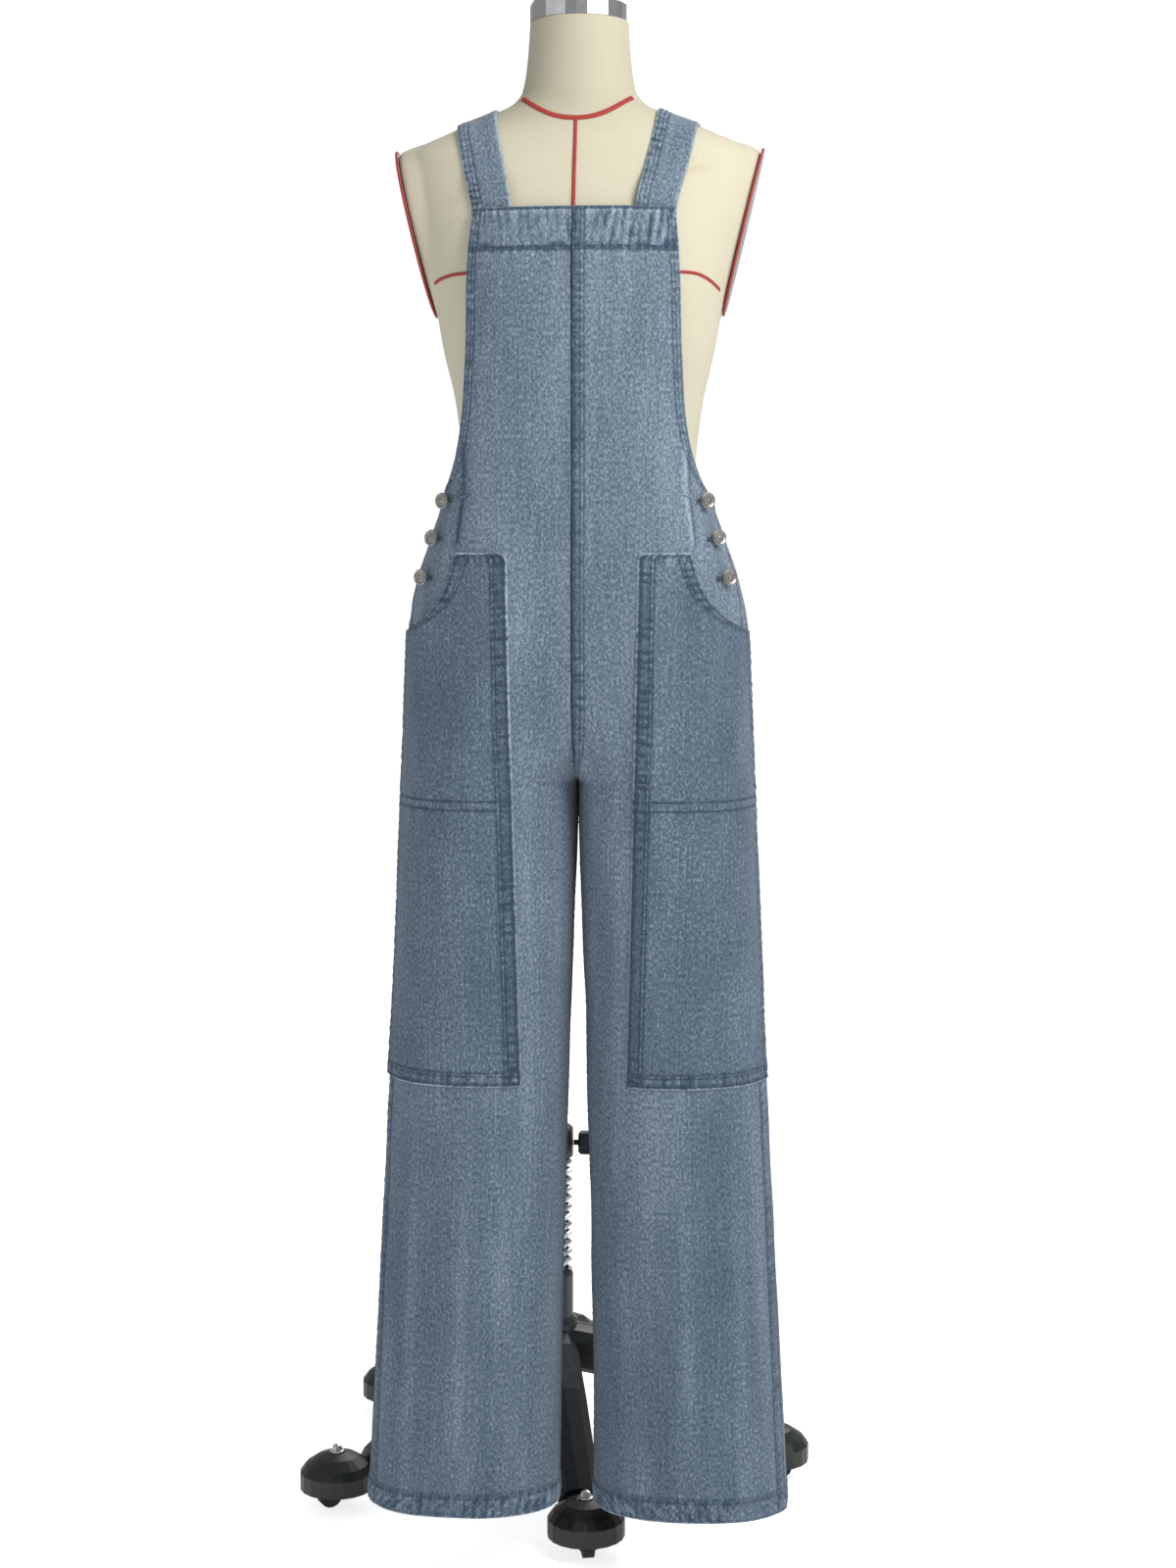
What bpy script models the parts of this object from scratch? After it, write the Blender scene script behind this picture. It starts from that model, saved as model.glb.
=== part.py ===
"""Wide-leg denim dungarees on a limbless dress form with a caster stand.

Metres, +Z up.  The front of the garment faces -Y and the wearer's left is +X.
Lengths in the tables are millimetres.  The garment is drawn as rings: at each height a
half ring (one leg) is a rounded oval, and the seams are angles or widths on that oval.
"""
import math

import bmesh
import bpy
import numpy as np

MM = 0.001

# ---- driving sizes, millimetres ---------------------------------------------------
CLOTH = 1.8              # denim wall
STRAP_CLOTH = 2.2        # doubled denim of a strap
GAP = 0.3                # clearance between neighbouring pieces
SEAM_TRIM = 0.55         # each panel ends this far short of its seam line, along the cloth
PATCH_LIFT = 2.7         # air under the patches, which stand a little proud of the panels
HEM_Z = 72.0             # leg hems above the floor
CROTCH_Z = 800.0
HIP_Z = 960.0            # height where both legs have merged into one round body
OPENING_TOP_Z = 1080.0   # top corner of the buttoned side opening
BIB_TOP_Z = 1359.0
BACK_TOP_Z = 1230.0
PATCH_BOTTOM_Z = 504.0
PATCH_TOP_Z = 1027.0
POCKET_LOW_Z = 947.0     # where the pocket opening meets the side seam
NECK_TOP_Z = 1552.0
CAP_TOP_Z = 1580.0
HUB_X, HUB_Y = -52.0, 247.0      # stand column, from the form's axis
FOOT_REACH = 254.0               # column axis to a foot's axis
FIRST_ARM_DEG = -76.6            # direction of the arm that points forwards
POST_BOTTOM_Z, POST_TOP_Z = 176.0, 1545.0
COLLAR_Z0, COLLAR_Z1 = 352.3, 385.0
TUBE_INNER, TUBE_OUTER, POST_RADIUS = 15.5, 22.0, 14.0
WHEEL_RADIUS, WHEEL_TRAIL = 13.0, 9.0
AXLE_Z = WHEEL_RADIUS * math.cos(math.pi / 16)   # a wheel rests on a flat of its 16 sides
FORM_X, FORM_Y = 33.8, -200.9    # the form's axis, so that the whole box is centred
PLATE_X, PLATE_TILT_DEG = 164.0, 13.5    # the armhole plates lean in towards their lower end

# The garment's rings.  half: outer half width.  inner: inner edge of the leg.
# centre: y of the widest line.  front, back: depths from it.  power: roundness (2 = oval).
GARMENT = np.array([
    # z     half  inner centre front  back  power
    (72,    212,  18.0, -30,   67,    66,   2.30),
    (150,   208,  17.2, -28,   69,    68,   2.30),
    (242,   203,  16.0, -26,   72,    71,   2.30),
    (392,   195,  13.0, -22,   78,    77,   2.30),
    (504,   189,  9.5,  -18,   84,    83,   2.30),
    (642,   182,  4.8,  -11,   94,    94,   2.35),
    (720,   179,  2.0,  -6,    101,   103,  2.40),
    (800,   176,  0.4,  -2,    109,   114,  2.40),
    (872,   173,  0.0,  0,     115,   122,  2.50),
    (947,   170,  0.0,  0,     119,   124,  2.70),
    (1002,  159,  0.0,  0,     119,   118,  3.00),
    (1040,  146,  0.0,  0,     118,   110,  3.20),
    (1080,  134,  0.0,  0,     117,   102,  3.40),
    (1148,  144,  0.0,  0,     117,   97,   3.20),
    (1230,  148,  0.0,  0,     118,   95,   3.00),
    (1293,  150,  0.0,  0,     117,   94,   2.80),
    (1359,  146,  0.0,  0,     104,   92,   2.60),
])

# Half width of the bib, and of the back above the side opening.
BIB_EDGE = np.array([
    # z     x
    (1080, 133.0), (1092, 126.5), (1102, 122.0), (1122, 115.5), (1148, 110.5),
    (1175, 107.5), (1230, 105.2), (1293, 103.7), (1359, 98.5),
])
BACK_EDGE = np.array([
    # z     x
    (1080, 133.0), (1090, 126.0), (1104, 116.0), (1130, 102.0), (1160, 90.0),
    (1195, 81.0), (1230, 77.0),
])

# Pocket and knee patch: its inner edge, and its slanting pocket mouth.
PATCH_INNER = np.array([
    # z     x
    (504, 51.5), (786, 58.0), (1027, 62.5),
])
POCKET_MOUTH = np.array([
    # z     x
    (947, 170.0), (953, 161.0), (960, 150.5), (968, 140.5), (980, 130.0), (996, 121.5),
    (1027, 112.0),
])

# The dress form's rings, as in the garment table.
FORM = np.array([
    # z     half  front back  power
    (858,   140,  82,   84,   2.3),
    (870,   150,  92,   95,   2.3),
    (905,   157,  100,  103,  2.3),
    (950,   155,  103,  106,  2.3),
    (1002,  142,  96,   94,   2.3),
    (1060,  124,  85,   76,   2.3),
    (1110,  117,  81,   68,   2.3),
    (1170,  123,  88,   68,   2.3),
    (1230,  136,  101,  74,   2.3),
    (1287,  146,  110,  81,   2.3),
    (1330,  157,  103,  84,   2.3),
    (1370,  167,  91,   85,   2.3),
    (1400,  172,  80,   81,   2.2),
    (1418,  172,  71,   74,   2.2),
    (1430,  160,  66,   69,   2.2),
    (1441,  136,  62,   65,   2.2),
    (1452,  110,  59,   61,   2.1),
    (1462,  85,   57,   58,   2.1),
    (1472,  66,   55,   56,   2.0),
    (1484,  57,   53,   54,   2.0),
    (1512,  52,   50,   51,   2.0),
    (1552,  49,   49,   49,   2.0),
])

FRONT_ROWS = (72, 150, 242, 317, 392, 450, 504, 572, 642, 700, 755, 792, 800, 806,
              816, 832, 856, 890, 918, 947, 960, 975, 1003, 1027, 1054, 1080, 1092, 1104,
              1122, 1148, 1190, 1230, 1274, 1318, 1359)
BACK_ROWS = tuple(z for z in FRONT_ROWS if z <= BACK_TOP_Z)
PATCH_ROWS = (504, 572, 642, 700, 755, 792, 832, 890, 918, 947, 950, 953.5, 957, 960, 967, 975,
              985, 1003, 1027)
BUTTONS = (
    # z,     angle round the ring, degrees
    (1077.0, 62.0),
    (1040.0, 63.0),
    (1002.0, 62.0),
)

# Arm of the star base along its length.
ARM = (
    # reach, half width, bottom z, top z
    (8.0,    27.0,       120.0,    166.0),
    (60.0,   26.0,       112.0,    158.0),
    (115.0,  25.0,       86.0,     126.0),
    (165.0,  24.0,       58.0,     91.0),
    (217.0,  22.0,       28.0,     54.0),
)

COLOURS = {
    # slot:          (red, green, blue), roughness, metallic
    "denim":         ((0.19, 0.26, 0.34), 0.85, 0.0),
    "denim_patch":   ((0.15, 0.21, 0.29), 0.85, 0.0),
    "linen":         ((0.80, 0.75, 0.60), 0.90, 0.0),
    "plate_grey":    ((0.45, 0.45, 0.44), 0.55, 0.0),
    "button_silver": ((0.40, 0.37, 0.33), 0.40, 0.9),
    "bright_steel":  ((0.65, 0.65, 0.66), 0.20, 1.0),
    "black_cast":    ((0.012, 0.013, 0.014), 0.35, 0.2),
    "black_plastic": ((0.015, 0.015, 0.016), 0.45, 0.0),
}


# ---- scene helpers ----------------------------------------------------------------
def clear_scene():
    """Remove every object that the file starts with."""
    for thing in list(bpy.data.objects):
        bpy.data.objects.remove(thing, do_unlink=True)


def new_collection(name):
    """Make a collection in the scene."""
    group = bpy.data.collections.new(name)
    bpy.context.scene.collection.children.link(group)
    return group


def make_material(slot):
    """A Principled material for one slot of COLOURS."""
    colour, roughness, metallic = COLOURS[slot]
    material = bpy.data.materials.new(slot)
    material.use_nodes = True
    shader = material.node_tree.nodes["Principled BSDF"]
    shader.inputs["Base Color"].default_value = (*colour, 1.0)
    shader.inputs["Roughness"].default_value = roughness
    shader.inputs["Metallic"].default_value = metallic
    material.diffuse_color = (*colour, 1.0)
    return material


def add_mesh(name, mesh, slot, parent=None, smooth=True):
    """Put a mesh in the object's collection with its material."""
    thing = bpy.data.objects.new(name, mesh)
    PARTS.objects.link(thing)
    if not mesh.materials:
        mesh.materials.append(MATERIALS[slot])
    if smooth:
        mesh.shade_smooth()
        mesh.set_sharp_from_angle(angle=math.radians(35))
    thing.parent = parent or FRAME
    return thing


def mesh_of(name, points, faces):
    """A mesh from points in millimetres."""
    mesh = bpy.data.meshes.new(name)
    mesh.from_pydata((np.asarray(points, float) * MM).tolist(), [], faces)
    mesh.update()
    return mesh


def grid_faces(rows, columns, flip):
    """Quads of a row-by-column grid of points."""
    faces = []
    for r in range(rows - 1):
        for c in range(columns - 1):
            a = r * columns + c
            quad = (a, a + 1, a + 1 + columns, a + columns)
            faces.append(quad[::-1] if flip else quad)
    return faces


def closed_loft(rings, centre_caps=False):
    """Points and faces of a closed body through rings that run anticlockwise seen from the end."""
    count = len(rings[0])
    points = np.concatenate(rings)
    faces = []
    for r in range(len(rings) - 1):
        for c in range(count):
            a, b = r * count + c, r * count + (c + 1) % count
            faces.append((a, b, b + count, a + count))
    last = (len(rings) - 1) * count
    if centre_caps:
        points = np.concatenate([points, [rings[0].mean(axis=0)], [rings[-1].mean(axis=0)]])
        low, high = len(points) - 2, len(points) - 1
        faces += [(low, (c + 1) % count, c) for c in range(count)]
        faces += [(high, last + c, last + (c + 1) % count) for c in range(count)]
    else:
        faces.append(tuple(reversed(range(count))))
        faces.append(tuple(range(last, last + count)))
    return points, faces


def turned(name, profile, slot, steps=28, at=(0, 0, 0), parent=None):
    """A body turned about Z from a closed outline of (radius, z) in millimetres, outer side first."""
    outline = [(r, 0.0, z) for r, z in profile]
    on_axis = [abs(r) < 1e-6 for r, _ in profile]
    closed = not any(on_axis)
    edges = [(i, i + 1) for i in range(len(outline) - 1)]
    if closed:
        edges.append((len(outline) - 1, 0))
    mesh = bpy.data.meshes.new(name)
    mesh.from_pydata((np.array(outline) * MM).tolist(), edges, [])
    thing = add_mesh(name, mesh, slot, parent, smooth=False)
    screw = thing.modifiers.new("turn", "SCREW")
    screw.steps = screw.render_steps = steps
    screw.use_merge_vertices = True
    screw.merge_threshold = 0.00002
    screw.use_smooth_shade = True
    thing.location = [v * MM for v in at]
    return thing


def join_shapes(thing, cutters):
    """Union other shapes into a body."""
    for cutter in cutters:
        union = thing.modifiers.new("join " + cutter.name, "BOOLEAN")
        union.operation = "UNION"
        union.object = cutter
        cutter.hide_render = True
        cutter.display_type = "WIRE"
        PARTS.objects.unlink(cutter)
        CUTTERS.objects.link(cutter)


# ---- the garment's shape ----------------------------------------------------------
def column(table, index, z):
    """A column of a table at height z: smooth cubic through the rows."""
    heights, values = table[:, 0], table[:, index]
    steps = np.diff(values) / np.diff(heights)
    slopes = np.empty_like(values)
    slopes[0], slopes[-1] = steps[0], steps[-1]
    slopes[1:-1] = np.where(steps[:-1] * steps[1:] > 0,
                            2 * steps[:-1] * steps[1:] / (steps[:-1] + steps[1:] + 1e-12), 0)
    z = np.clip(z, heights[0], heights[-1])
    i = np.clip(np.searchsorted(heights, z) - 1, 0, len(heights) - 2)
    span = heights[i + 1] - heights[i]
    u = (z - heights[i]) / span
    return ((2 * u**3 - 3 * u**2 + 1) * values[i] + (u**3 - 2 * u**2 + u) * span * slopes[i]
            + (3 * u**2 - 2 * u**3) * values[i + 1] + (u**3 - u**2) * span * slopes[i + 1])


def signed_power(value, power):
    """Power of a number's size, keeping its sign."""
    return np.sign(value) * np.abs(value) ** power


def leg_share(z):
    """How much the ring is a separate leg: 1 below the crotch, 0 from the hips up."""
    return np.clip((HIP_Z - z) / (HIP_Z - CROTCH_Z), 0, 1) ** 1.5


def ring_sizes(z):
    """Centre x and half width of the ring at height z."""
    half, inner = column(GARMENT, 1, z), column(GARMENT, 2, z)
    share = leg_share(z)
    below = z <= CROTCH_Z
    width = np.where(below, (half - inner) / 2, half / (1 + share))
    centre = np.where(below, (half + inner) / 2, half - width)
    return centre, width


def garment_point(z, angle):
    """Point of the outer skin: angle 0 is the front, 90 the outer side, 180 the back, degrees."""
    z, angle = np.broadcast_arrays(np.asarray(z, float), np.asarray(angle, float))
    turn = np.radians(angle)
    power = column(GARMENT, 6, z)
    centre, width = ring_sizes(z)
    depth = np.where(np.cos(turn) > 0, column(GARMENT, 4, z), column(GARMENT, 5, z))
    x = centre + width * signed_power(np.sin(turn), 2 / power)
    y = column(GARMENT, 3, z) - depth * signed_power(np.cos(turn), 2 / power)
    return np.stack([x, y, z], axis=-1)


def angle_at_width(z, x):
    """Front angle at which the ring reaches a given x."""
    centre, width = ring_sizes(z)
    reach = np.clip((x - centre) / width, -1, 1)
    return np.degrees(np.arcsin(signed_power(reach, column(GARMENT, 6, z) / 2)))


def side_angle(z):
    """Angle of the side seam: a little forward at the hem, at the side by the opening."""
    return np.interp(z, (HEM_Z, HIP_Z, OPENING_TOP_Z), (76, 79, 84))


def front_limits(z):
    """Angles where the front panel starts (centre front or inseam) and ends (side or bib edge)."""
    start = -90.0 if z <= CROTCH_Z else float(angle_at_width(z, 0.0))
    if z <= OPENING_TOP_Z:
        return start, float(side_angle(z))
    return start, float(min(side_angle(z), angle_at_width(z, column(BIB_EDGE, 1, z))))


def back_limits(z):
    """Angles where the back panel starts (side) and ends (centre back or inseam)."""
    end = 270.0 if z <= CROTCH_Z else 180.0 - float(angle_at_width(z, 0.0))
    if z <= OPENING_TOP_Z:
        return float(side_angle(z)), end
    edge = 180.0 - float(angle_at_width(z, column(BACK_EDGE, 1, z)))
    return max(float(side_angle(z)), edge), end


def row_points(z, start, end, count, trim=SEAM_TRIM):
    """Points spread evenly by length along a ring between two angles, ends trimmed."""
    dense = garment_point(z, np.linspace(start, end, 600))
    run = np.concatenate([[0], np.cumsum(np.linalg.norm(np.diff(dense, axis=0), axis=1))])
    along = np.linspace(trim, run[-1] - trim, count)
    return np.stack([np.interp(along, run, dense[:, k]) for k in range(3)], axis=-1)


def add_panel(name, rows, side, slot, wall, lift=0.0):
    """A cloth piece: a grid of outer-skin points, moved out by lift, thickened inwards."""
    grid = np.array(rows)
    if lift:
        along = np.gradient(grid, axis=1)
        up = np.gradient(grid, axis=0)
        normal = np.cross(along, up)
        normal /= np.linalg.norm(normal, axis=-1, keepdims=True)
        grid = grid + lift * normal
    shape = grid.shape
    grid = grid * np.array([side, 1, 1])
    mesh = mesh_of(name, grid.reshape(-1, 3), grid_faces(shape[0], shape[1], side < 0))
    thing = add_mesh(name, mesh, slot)
    shell = thing.modifiers.new("wall", "SOLIDIFY")
    shell.thickness = wall * MM
    shell.offset = -1.0
    return thing


def side_name(side):
    """Wearer's side: +X is the wearer's left."""
    return "left" if side > 0 else "right"


def build_panels(columns=10):
    """The front and back panels, hem to bib and hem to back top."""
    for side in (1, -1):
        front = [row_points(z, *front_limits(z), columns) for z in FRONT_ROWS]
        add_panel("front_panel_" + side_name(side), front, side, "denim", CLOTH)
        back = [row_points(z, *back_limits(z), columns) for z in BACK_ROWS]
        add_panel("back_panel_" + side_name(side), back, side, "denim", CLOTH)


def build_patches(columns=8):
    """The pocket and knee patches that lie on the front panels."""
    for side in (1, -1):
        rows = []
        for z in PATCH_ROWS:
            start = float(angle_at_width(z, column(PATCH_INNER, 1, z)))
            end = float(side_angle(z))
            if z > POCKET_LOW_Z:
                end = min(end, float(angle_at_width(z, column(POCKET_MOUTH, 1, z))))
            rows.append(row_points(z, start, end, columns, trim=1.5))
        add_panel("patch_" + side_name(side), rows, side, "denim_patch", CLOTH, CLOTH + PATCH_LIFT)


def form_inside(x, y, z):
    """Below 1 inside the dress form, above 1 outside."""
    depth = np.where(y < 0, column(FORM, 2, z), column(FORM, 3, z))
    power = column(FORM, 4, z)
    return (np.abs(x) / column(FORM, 1, z)) ** power + (np.abs(y) / depth) ** power


def form_reach(x, turn, hub_z):
    """Distance from (x, 0, hub_z) to the form's skin, in the plane across X, by halving."""
    low, high = 10.0, 230.0
    for _ in range(40):
        middle = (low + high) / 2
        y, z = -middle * math.cos(turn), hub_z + middle * math.sin(turn)
        if z < FORM[-1, 0] and form_inside(x, y, z) < 1:
            low = middle
        else:
            high = middle
    return high


def panel_inner_y(x, z, back):
    """y of the inner face of the bib or of the back at a width and height."""
    angle = float(angle_at_width(z, x))
    point = garment_point(z, 180 - angle if back else angle)
    wall = 1.4 * CLOTH   # the wall is cut slantwise where the ring curves round
    return float(point[1]) + (-wall if back else wall)


def ease(value):
    """Smooth step from 0 to 1."""
    value = min(max(value, 0.0), 1.0)
    return value * value * (3 - 2 * value)


def strap_point(x, turn, hub_z=1330.0, clearance=4.0, blend=45.0):
    """A strap's outer-skin point: over the form, but tucked inside the bib and the back."""
    reach = form_reach(x, turn, hub_z) + clearance
    y, z = -reach * math.cos(turn), hub_z + reach * math.sin(turn)
    top, inside = (BACK_TOP_Z, -GAP) if y > 0 else (BIB_TOP_Z, GAP)
    if z < top + blend:
        held_y = panel_inner_y(x, min(z, top), y > 0) + inside
        y = held_y + (y - held_y) * ease((z - top) / blend)
    return x, y, z


def build_straps(width=40.0, columns=4, rows=36):
    """The shoulder straps, from inside the bib top over the form to inside the back top."""
    path = np.array([
        # turn, centre x
        (-1.0, 78.0), (18.0, 80.0), (47.0, 90.0), (70.0, 98.5), (90.0, 101.0),
        (120.0, 97.0), (180.0, 66.0), (228.0, 48.0), (240.0, 45.0),
    ])
    turns = np.linspace(path[0, 0], path[-1, 0], rows)
    for side in (1, -1):
        grid = []
        for turn in turns:
            centre = float(column(path, 1, turn))
            grid.append([strap_point(centre + width * (share - 0.5), math.radians(turn))
                         for share in np.linspace(0, 1, columns)])
        name = "strap_" + side_name(side)
        add_panel(name, grid, side, "denim", STRAP_CLOTH)


def build_buttons(radius=8.0, lift=4.6, lean=0.9):
    """Metal shank buttons on the flap of the side opening, hanging a little to the front."""
    profile = [(0, 2.8), (radius * 0.65, 2.6), (radius * 0.85, 3.2), (radius, 2.4),
               (radius * 0.85, 0), (2.2, 0), (2.2, -3.2), (0, -3.2)]
    for side in (1, -1):
        for index, (z, angle) in enumerate(BUTTONS, 1):
            spot = garment_point(z, angle)
            along = garment_point(z, angle + 2) - garment_point(z, angle - 2)
            up = garment_point(z + 5, angle) - garment_point(z - 5, angle)
            normal = np.cross(along, up)
            normal /= np.linalg.norm(normal)
            facing = normal + lean * np.array([0, -1, 0])
            facing /= np.linalg.norm(facing)
            flip = np.array([side, 1, 1])
            name = "button_%s_%d" % (side_name(side), index)
            button = turned(name, profile, "button_silver", 14, (spot + lift * normal) * flip)
            heading = facing * flip
            button.rotation_euler = (math.acos(heading[2]), 0,
                                     math.atan2(heading[1], heading[0]) + math.pi / 2)


# ---- the dress form and its stand -------------------------------------------------
def build_form(segments=28):
    """The linen torso, its neck cap and its armhole plates."""
    turns = np.radians(np.arange(segments) * 360 / segments)
    rings = []
    for z, half, front, back, power in FORM:
        depth = np.where(np.sin(turns) < 0, front, back)
        rings.append(np.stack([half * signed_power(np.cos(turns), 2 / power),
                               depth * signed_power(np.sin(turns), 2 / power),
                               np.full(segments, z)], axis=-1))
    points, faces = closed_loft(rings, centre_caps=True)
    add_mesh("form_torso", mesh_of("form_torso", points, faces), "linen")
    low = NECK_TOP_Z + GAP
    turned("neck_cap", [(0, CAP_TOP_Z), (36, CAP_TOP_Z), (44, CAP_TOP_Z - 4),
                        (49, CAP_TOP_Z - 12), (49, low), (0, low)], "bright_steel", 28)
    for side in (1, -1):
        plate = turned("armhole_plate_" + side_name(side),
                       [(0, 1.5), (46.0, 1.5), (47.5, 0.5), (47.5, -1.5), (0, -1.5)],
                       "plate_grey", 28, (side * PLATE_X, 2.0, 1345.0))
        plate.rotation_euler = (0, side * math.radians(90 + PLATE_TILT_DEG), 0)
        plate.scale = (1.74, 1.0, 1.0)


def build_column():
    """Post, outer tube, collar, knob, spring and the arm to the neck bolt."""
    at = (HUB_X, HUB_Y, 0)
    turned("outer_tube", [(TUBE_OUTER, 352), (TUBE_OUTER, 172), (TUBE_INNER, 172),
                          (TUBE_INNER, 352)], "black_cast", 24, at)
    turned("hub_sleeve", [(29, 221), (30, 219), (30, 172), (TUBE_OUTER + GAP, 172),
                          (TUBE_OUTER + GAP, 221)], "black_plastic", 20, at)
    turned("clamp_collar", [(28, COLLAR_Z1), (30, COLLAR_Z1 - 2), (30, COLLAR_Z0),
                            (TUBE_INNER, COLLAR_Z0), (TUBE_INNER, COLLAR_Z1)],
           "black_plastic", 20, at)
    turned("post", [(0, POST_TOP_Z), (POST_RADIUS, POST_TOP_Z), (POST_RADIUS, POST_BOTTOM_Z),
                    (0, POST_BOTTOM_Z)], "bright_steel", 20, at)
    build_spring()
    build_knob()
    build_arm()


def build_spring(radius=26.5, wire=2.6, low=224.2, high=349.0, pitch=10.0, steps=8):
    """The bright coil round the tube: one turn every pitch."""
    turns = (high - low) / pitch
    count = int(turns * steps) + 1
    curve = bpy.data.curves.new("spring", "CURVE")
    curve.dimensions = "3D"
    curve.bevel_depth = wire * MM
    curve.bevel_resolution = 1
    curve.use_fill_caps = True
    spline = curve.splines.new("POLY")
    spline.points.add(count - 1)
    for i in range(count):
        turn = 2 * math.pi * i / steps
        height = low + (high - low) * i / (count - 1)
        spline.points[i].co = (radius * math.cos(turn) * MM, radius * math.sin(turn) * MM,
                               height * MM, 1)
    curve.materials.append(MATERIALS["bright_steel"])
    thing = bpy.data.objects.new("spring", curve)
    PARTS.objects.link(thing)
    thing.parent = FRAME
    thing.location = (HUB_X * MM, HUB_Y * MM, 0)


def build_knob(lobes=6, segments=36, z=367.0):
    """The clamp knob on the collar's +X side, with its short bright shaft."""
    pivot = bpy.data.objects.new("knob_axis", None)
    PARTS.objects.link(pivot)
    pivot.parent = FRAME
    pivot.location = (HUB_X * MM, HUB_Y * MM, z * MM)
    turns = np.radians(np.arange(segments) * 360 / segments)
    sections = (
        # x,    size
        (30.4,  3.2), (36.0, 3.2), (36.0, 10.0), (38.5, 12.6), (49.0, 12.6), (52.0, 10.0),
    )
    rings = []
    for x, size in sections:
        lobe = 1 + (0.10 * np.cos(lobes * turns) if size > 5 else 0 * turns)
        rings.append(np.stack([np.full(segments, x), size * lobe * np.cos(turns),
                               size * lobe * np.sin(turns)], axis=-1))
    points, faces = closed_loft(rings)
    add_mesh("clamp_knob", mesh_of("clamp_knob", points, faces), "black_plastic", pivot)


def build_arm(radius=11.0, z=1594.0, bend=42.0, eye=16.0):
    """The hanger arm from the post to the eye that holds the neck bolt."""
    heading = np.array([-HUB_X, -HUB_Y]) / math.hypot(HUB_X, HUB_Y)
    run = math.hypot(HUB_X, HUB_Y) - eye - GAP
    route = [(0.0, POST_TOP_Z + GAP)]
    for turn in np.linspace(0, math.pi / 2, 9):
        route.append((bend * (1 - math.cos(turn)), z - bend + bend * math.sin(turn)))
    route.append((run, z))
    curve = bpy.data.curves.new("hanger_arm", "CURVE")
    curve.dimensions = "3D"
    curve.bevel_depth = radius * MM
    curve.bevel_resolution = 4
    curve.use_fill_caps = True
    spline = curve.splines.new("POLY")
    spline.points.add(len(route) - 1)
    for i, (reach, height) in enumerate(route):
        spline.points[i].co = ((HUB_X + heading[0] * reach) * MM,
                               (HUB_Y + heading[1] * reach) * MM, height * MM, 1)
    curve.materials.append(MATERIALS["black_cast"])
    thing = bpy.data.objects.new("hanger_arm", curve)
    PARTS.objects.link(thing)
    thing.parent = FRAME
    turned("arm_eye", [(eye - 1, z + 10), (eye, z + 9), (eye, z - 9), (eye - 1, z - 10),
                       (6.4, z - 10), (6.4, z + 10)], "black_cast", 18)
    head = z + 10 + GAP
    turned("neck_bolt", [(0, head + 9), (7, head + 9), (11, head + 6), (11, head), (6, head),
                         (6, CAP_TOP_Z + GAP), (0, CAP_TOP_Z + GAP)], "bright_steel", 16)


def foot_places():
    """Foot positions, and the direction of each arm in radians."""
    for index in range(5):
        heading = math.radians(FIRST_ARM_DEG - 72 * index)
        yield (index + 1, HUB_X + FOOT_REACH * math.cos(heading),
               HUB_Y + FOOT_REACH * math.sin(heading), heading)


def build_base():
    """The cast star base: hub, arms and foot cups joined into one body."""
    hub = turned("base_star", [(0, 171.7), (30, 171.7), (35, 166), (38, 118), (30, 112), (0, 112)],
                 "black_cast", 20, (HUB_X, HUB_Y, 0))
    shapes = []
    for index, x, y, heading in foot_places():
        rings = []
        for reach, half, low, high in ARM:
            outline = [(-half, low + 6), (-half + 5, low), (half - 5, low), (half, low + 6),
                       (half, high - 12), (half - 9, high - 2), (0, high), (-half + 9, high - 2),
                       (-half, high - 12)]
            rings.append(np.array([(reach, across, z) for across, z in outline]))
        points, faces = closed_loft(rings)
        arm = add_mesh("arm_%d" % index, mesh_of("arm_%d" % index, points, faces),
                       "black_cast", smooth=False)
        arm.location = (HUB_X * MM, HUB_Y * MM, 0)
        arm.rotation_euler = (0, 0, heading)
        cup = turned("cup_%d" % index,
                     [(0, 58), (10, 58), (22, 54), (34, 46), (40, 38), (40, 20), (35, 20),
                      (35, 35), (0, 35)], "black_cast", 20, (x, y, 0))
        shapes += [arm, cup]
    join_shapes(hub, shapes)


def build_feet():
    """Cap nuts on the feet, and under each foot a caster's fork and wheel."""
    fork = fork_mesh()
    for index, x, y, heading in foot_places():
        turned("foot_bolt_%d" % index,
               [(0, 67), (4.4, 65), (5.8, 60.4), (8, 60), (8, 58.3), (0, 58.3)],
               "bright_steel", 12, (x, y, 0))
        swivel = bpy.data.objects.new("swivel_axis_%d" % index, None)
        PARTS.objects.link(swivel)
        swivel.parent = FRAME
        swivel.location = (x * MM, y * MM, 0)
        swivel.rotation_euler = (0, 0, heading)
        add_mesh("caster_fork_%d" % index, fork, "black_plastic", swivel, smooth=False)
        wheel = turned("caster_wheel_%d" % index,
                       [(WHEEL_RADIUS, 5.5), (WHEEL_RADIUS, -5.5), (2.4, -5.5), (2.4, 5.5)],
                       "black_plastic", 16, (WHEEL_TRAIL, 0, AXLE_Z), swivel)
        wheel.rotation_euler = (math.pi / 2, math.pi / 16, 0)


def box_shape(name, size, centre):
    """A box for a union, sizes in millimetres."""
    bpy.ops.mesh.primitive_cube_add(size=1)
    thing = bpy.context.object
    thing.name = name
    for corner in thing.data.vertices:
        corner.co = [corner.co[k] * size[k] * MM + centre[k] * MM for k in range(3)]
    for group in list(thing.users_collection):
        group.objects.unlink(thing)
    return thing


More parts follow.
